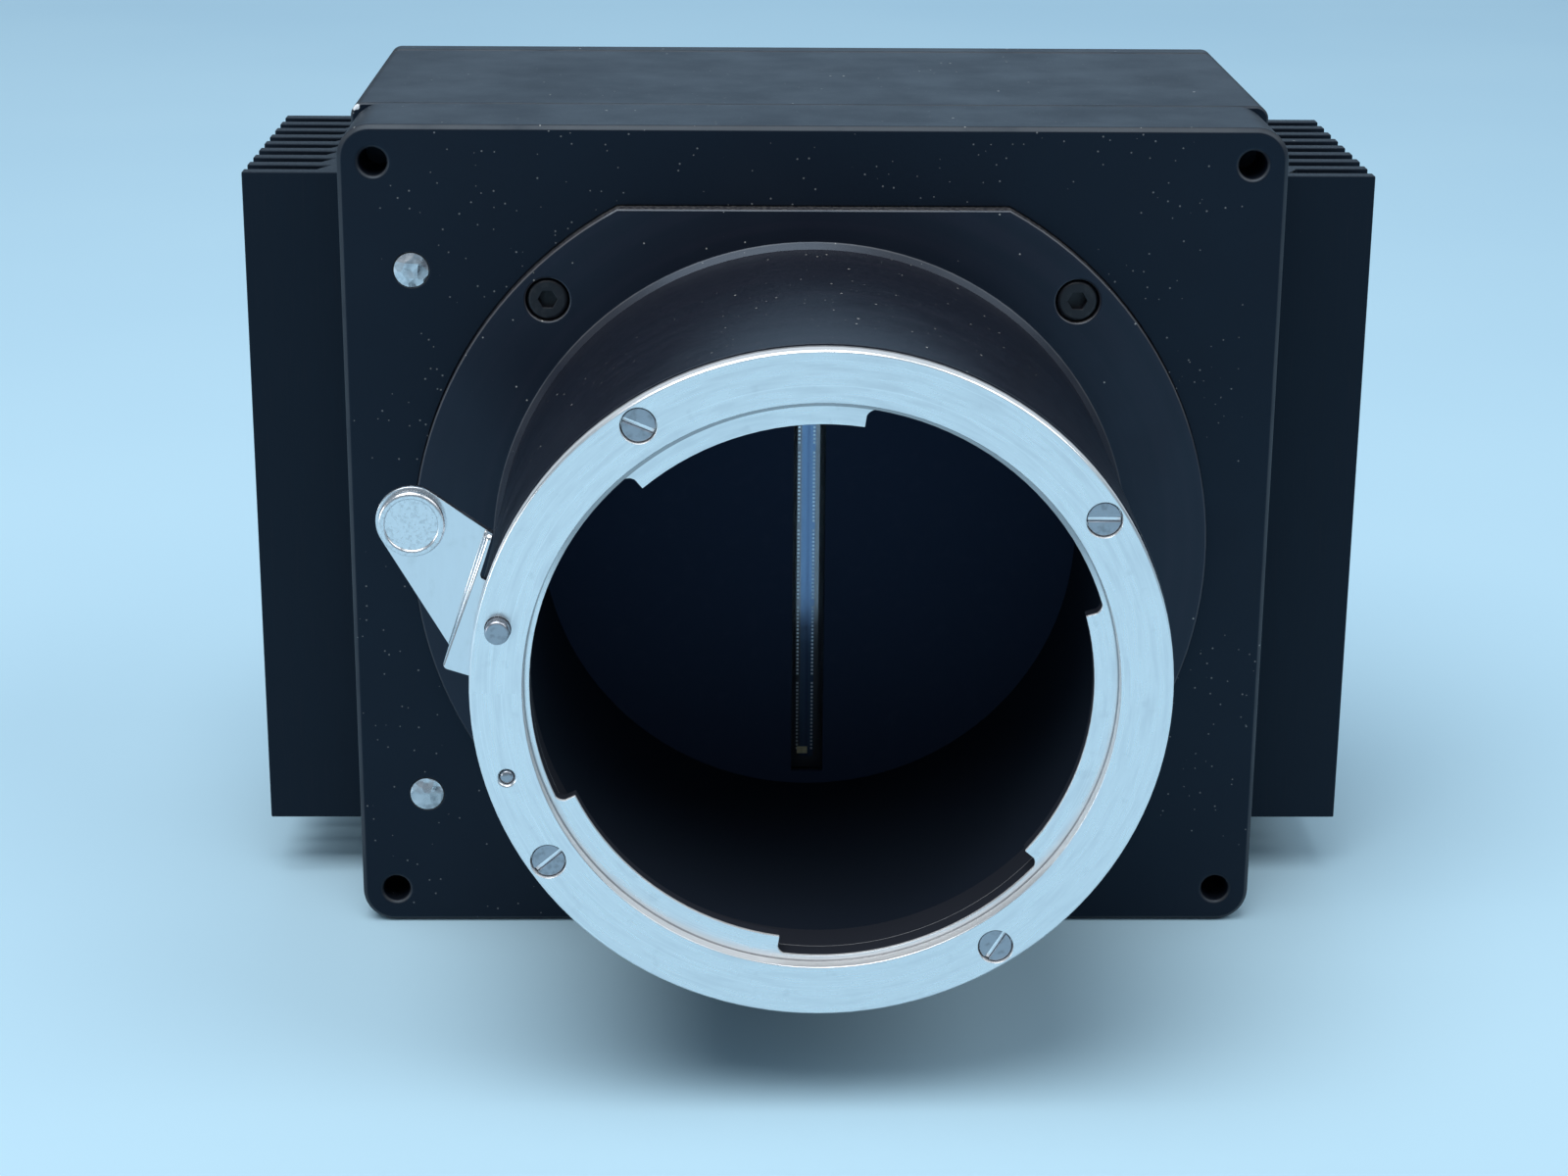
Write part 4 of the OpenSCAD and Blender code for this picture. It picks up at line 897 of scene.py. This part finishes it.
def from_button_axis(p):
    return math.hypot(p.x - button_middle.x, p.z - button_middle.z)


def on_front(p):
    return p.y < button_low.y + CLOSE


def push(distance_mm):
    """Extrude what is picked along Y."""
    bpy.ops.mesh.extrude_region_move(TRANSFORM_OT_translate={"value": (0, distance_mm * MM, 0)})


bpy.ops.object.select_all(action="DESELECT")
bpy.ops.mesh.primitive_cylinder_add(
    vertices=BUTTON_POINTS, radius=button_r * MM, depth=BUTTON_H * MM, rotation=(math.pi / 2, 0, 0),
    location=Vector((button_middle.x, button_low.y + BUTTON_H / 2, button_middle.z)) * MM)
button = bpy.context.object
button.name = "release_button_finished"
bpy.ops.object.transform_apply(location=True, rotation=True, scale=True)
pick(button, "FACE", on_front)
bpy.ops.mesh.inset(thickness=DISH_RIM * MM)
push(DISH_DEPTH)
bpy.ops.object.mode_set(mode="OBJECT")
pick(button, "FACE", lambda p: p.y > button_rear - CLOSE)
bpy.ops.mesh.inset(thickness=(button_r - RIVET_R) * MM)
push(SHEET)
push(0)
widen = RIVET_HEAD_R / RIVET_R
bpy.ops.transform.resize(value=(widen, 1, widen),
                         center_override=Vector((button_middle.x, rivet_rear, button_middle.z)) * MM)
push(button_high.y - rivet_rear)
bpy.ops.object.mode_set(mode="OBJECT")


def on_rim(p):
    return on_front(p) and from_button_axis(p) > button_r - CLOSE


def on_dish(p):
    return on_front(p) and from_button_axis(p) < button_r - DISH_RIM + 10 * CLOSE


round_off(button, on_rim, RIM_ROUND, 6)
round_off(button, on_dish, DISH_ROUND, 5)
round_off(button, lambda p: p.y > button_high.y - CLOSE, RIVET_ROUND, 4)
bpy.ops.object.shade_smooth_by_angle(angle=SMOOTH_ANGLE)
button.data.materials.append(pressed.material)
hand_over(button, "release_button", "lens_release")

# %% [markdown]
# The lock pin is turned from rod. Its tip slides into a hole in the lens, so its edge is broken. It
# moves with the lever, so it rides on the lever's body.

# %% Lock pin
PIN_EDGE = 0.08
pin_piece = copy_of("lock_pin")
break_edges(pin_piece, PIN_EDGE)
hand_over(pin_piece, "lock_pin", "lens_release")

# %% [markdown]
# Behind the lever, a small compression spring lies in a hole of the tube. It could follow a curve,
# but a Screw modifier is shorter: a circle of the wire's size turns round the Y axis and climbs by
# one pitch in each turn. When the lever is pushed in by its travel, the spring has to shorten with it.

# %% Spring
WIRE_R, COIL_R, TURNS = 0.13, 0.85, 9
WIRE_POINTS, TURN_STEPS = 12, 28
COIL_SMOOTH = math.radians(60)
spring_low, spring_high = box_mm("lock_spring")
spring_middle = (spring_low + spring_high) / 2
spring_length = spring_high.y - spring_low.y
pitch = (spring_length - 2 * WIRE_R) / TURNS

bpy.ops.object.select_all(action="DESELECT")
bpy.ops.mesh.primitive_circle_add(vertices=WIRE_POINTS, radius=WIRE_R * MM, location=(COIL_R * MM, 0, 0))
spring = bpy.context.object
spring.name = "lock_spring_finished"
bpy.ops.object.transform_apply(location=True, rotation=True, scale=True)
apply_modifier(spring, "SCREW", axis="Y", iterations=TURNS, screw_offset=pitch * MM,
               steps=TURN_STEPS, render_steps=TURN_STEPS)
bpy.ops.object.mode_set(mode="EDIT")
bpy.ops.mesh.select_all(action="SELECT")
bpy.ops.mesh.remove_doubles(threshold=SAME_PLACE)
bpy.ops.mesh.fill_holes(sides=0)
bpy.ops.mesh.select_all(action="SELECT")
bpy.ops.mesh.normals_make_consistent(inside=False)
bpy.ops.object.mode_set(mode="OBJECT")
spring.location = Vector((spring_middle.x, spring_low.y + WIRE_R, spring_middle.z)) * MM
bpy.ops.object.transform_apply(location=True, rotation=True, scale=True)
bpy.ops.object.shade_smooth_by_angle(angle=COIL_SMOOTH)
spring.data.materials.append(finishes[slot_of["lock_spring"]].material)
hand_over(spring, "lock_spring")
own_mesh(spring)

# %% [markdown]
# Rows of tiny metal pads run along both edges of the sensor chip, where its bond wires land. We
# model one pad, copy it up the chip with an Array modifier in groups, and do so once for each row.

# %% Bond pads
PAD, PAD_T, PAD_PITCH = 0.2, 0.03, 0.37
GROUP, GROUPS, GROUP_GAP = 19, 6, 0.6
PAD_EDGE = 0.01
PAD_ROWS = {"left": -0.9, "right": 0.5}
chip_low, chip_high = box_mm("sensor_chip")
row_length = GROUPS * GROUP * PAD_PITCH + (GROUPS - 1) * GROUP_GAP
row_start = (chip_low.z + chip_high.z - row_length + PAD_PITCH) / 2


def small_block(name, middle, size, edge_mm):
    bpy.ops.object.select_all(action="DESELECT")
    bpy.ops.mesh.primitive_cube_add(size=1, location=Vector(middle) * MM, scale=Vector(size) * MM)
    block = bpy.context.object
    block.name = name
    bpy.ops.object.transform_apply(location=True, rotation=True, scale=True)
    bpy.ops.object.mode_set(mode="EDIT")
    bpy.ops.mesh.select_all(action="SELECT")
    bpy.ops.mesh.bevel(offset=edge_mm * MM, segments=2, affect="EDGES")
    bpy.ops.object.mode_set(mode="OBJECT")
    return block


def repeat_up(piece, count, step_mm):
    apply_modifier(piece, "ARRAY", count=count, use_relative_offset=False, use_constant_offset=True,
                   constant_offset_displace=(0, 0, step_mm * MM))


for side, x in PAD_ROWS.items():
    first = (x, chip_low.y - PAD_T / 2, row_start)
    pads = small_block("bond_pads_" + side, first, (PAD, PAD_T, PAD), PAD_EDGE)
    repeat_up(pads, GROUP, PAD_PITCH)
    repeat_up(pads, GROUPS, GROUP * PAD_PITCH + GROUP_GAP)
    pads.data.materials.append(finishes["bridge_aluminium"].material)
    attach(pads, "camera")
    print(pads.name, GROUP * GROUPS, "pads")

# %% [markdown]
# A gold spot at the lower end of the chip marks its first pin. It lies deep in the throat, so its
# paint is paler and less mirror-like than a gold contact.

# %% First pin mark
MARK_X, MARK_W, MARK_H = -0.4, 1.0, 0.7
MARK_EDGE = 0.025

gilt = Finish("gilt_mark", (0.90, 0.74, 0.46), 0.45, 0.0)
gilt.paint(gilt.ramp(gilt.noise(0.3, 2.0), 0.4, 0.65, 0.0, 0.8), (0.72, 0.55, 0.30))
mark = small_block("first_pin_mark", (MARK_X, chip_low.y - PAD_T, chip_low.z + 0.9 * MARK_H),
                   (MARK_W, 2 * PAD_T, MARK_H), MARK_EDGE)
mark.data.materials.append(gilt.material)
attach(mark, "camera")
print(mark.name, len(mark.data.polygons), "faces")

# %% [markdown]
# The camera stands on a plain pale floor. The floor is wide, so no horizon shows, and its colour
# alone makes the background pale. It is matt, so that no lamp glares in it, and it lies a hair
# below the solids, so that no two faces share a place.

# %% Floor
FLOOR_SIZE = 8
FLOOR_DROP = 0.05 * MM
bpy.ops.object.select_all(action="DESELECT")
bpy.ops.mesh.primitive_plane_add(size=FLOOR_SIZE, location=(0, 0, cad_low.z - FLOOR_DROP))
floor = bpy.context.object
floor.name = "floor"
sheet = Finish("pale_floor", (0.48, 0.70, 0.83), 0.8)
sheet.shader.inputs["Specular IOR Level"].default_value = 0.12
sheet.paint(sheet.ramp(sheet.noise(120.0, 2.0), 0.35, 0.65, 0.0, 0.5), (0.45, 0.67, 0.81))
sheet.bump(sheet.noise(1.2, 2.0), 0.004)
floor.data.materials.append(sheet.material)
print("floor lies", round((cad_low.z - FLOOR_DROP) / MM, 2), "mm from the optical axis")

# %% [markdown]
# The light is one broad lamp above, a weaker one on the right, and an even sky. A small low lamp on
# the left draws a bright line along the bends of the lever, and one behind the camera, higher up,
# gives the upper edges and the top of the tube a sheen. The lamps are discs, and the broad ones
# throw soft shadows.

# %% Lights
AIM = Vector((0, 0.03, 0))
SKY = (0.62, 0.78, 0.92, 1)
SKY_STRENGTH = 0.4
BACKDROP = (0.45, 0.72, 1.0)


def soft_lamp(name, place, size, watts, colour=(1, 1, 1)):
    light = bpy.data.lights.new(name, "AREA")
    light.shape = "DISK"
    light.color = colour
    light.size = size
    light.energy = watts
    thing = bpy.data.objects.new(name, light)
    thing.location = place
    thing.rotation_euler = (AIM - Vector(place)).to_track_quat("-Z", "Y").to_euler()
    bpy.context.scene.collection.objects.link(thing)
    print(name, size, "m wide,", watts, "W")


soft_lamp("key_lamp", (-0.24, -0.32, 1.10), 1.1, 12.5)
soft_lamp("fill_lamp", (0.78, -0.34, 0.85), 0.8, 3.5)
soft_lamp("edge_lamp", (-0.80, -0.35, 0.10), 0.3, 1.2)
soft_lamp("back_lamp", (0.05, 1.10, 0.62), 0.9, 1.2, BACKDROP)
world = bpy.data.worlds.new("even_sky")
world.use_nodes = True
sky = world.node_tree.nodes["Background"]
sky.inputs["Color"].default_value = SKY
sky.inputs["Strength"].default_value = SKY_STRENGTH
bpy.context.scene.world = world
bpy.context.scene.view_settings.view_transform = "Standard"
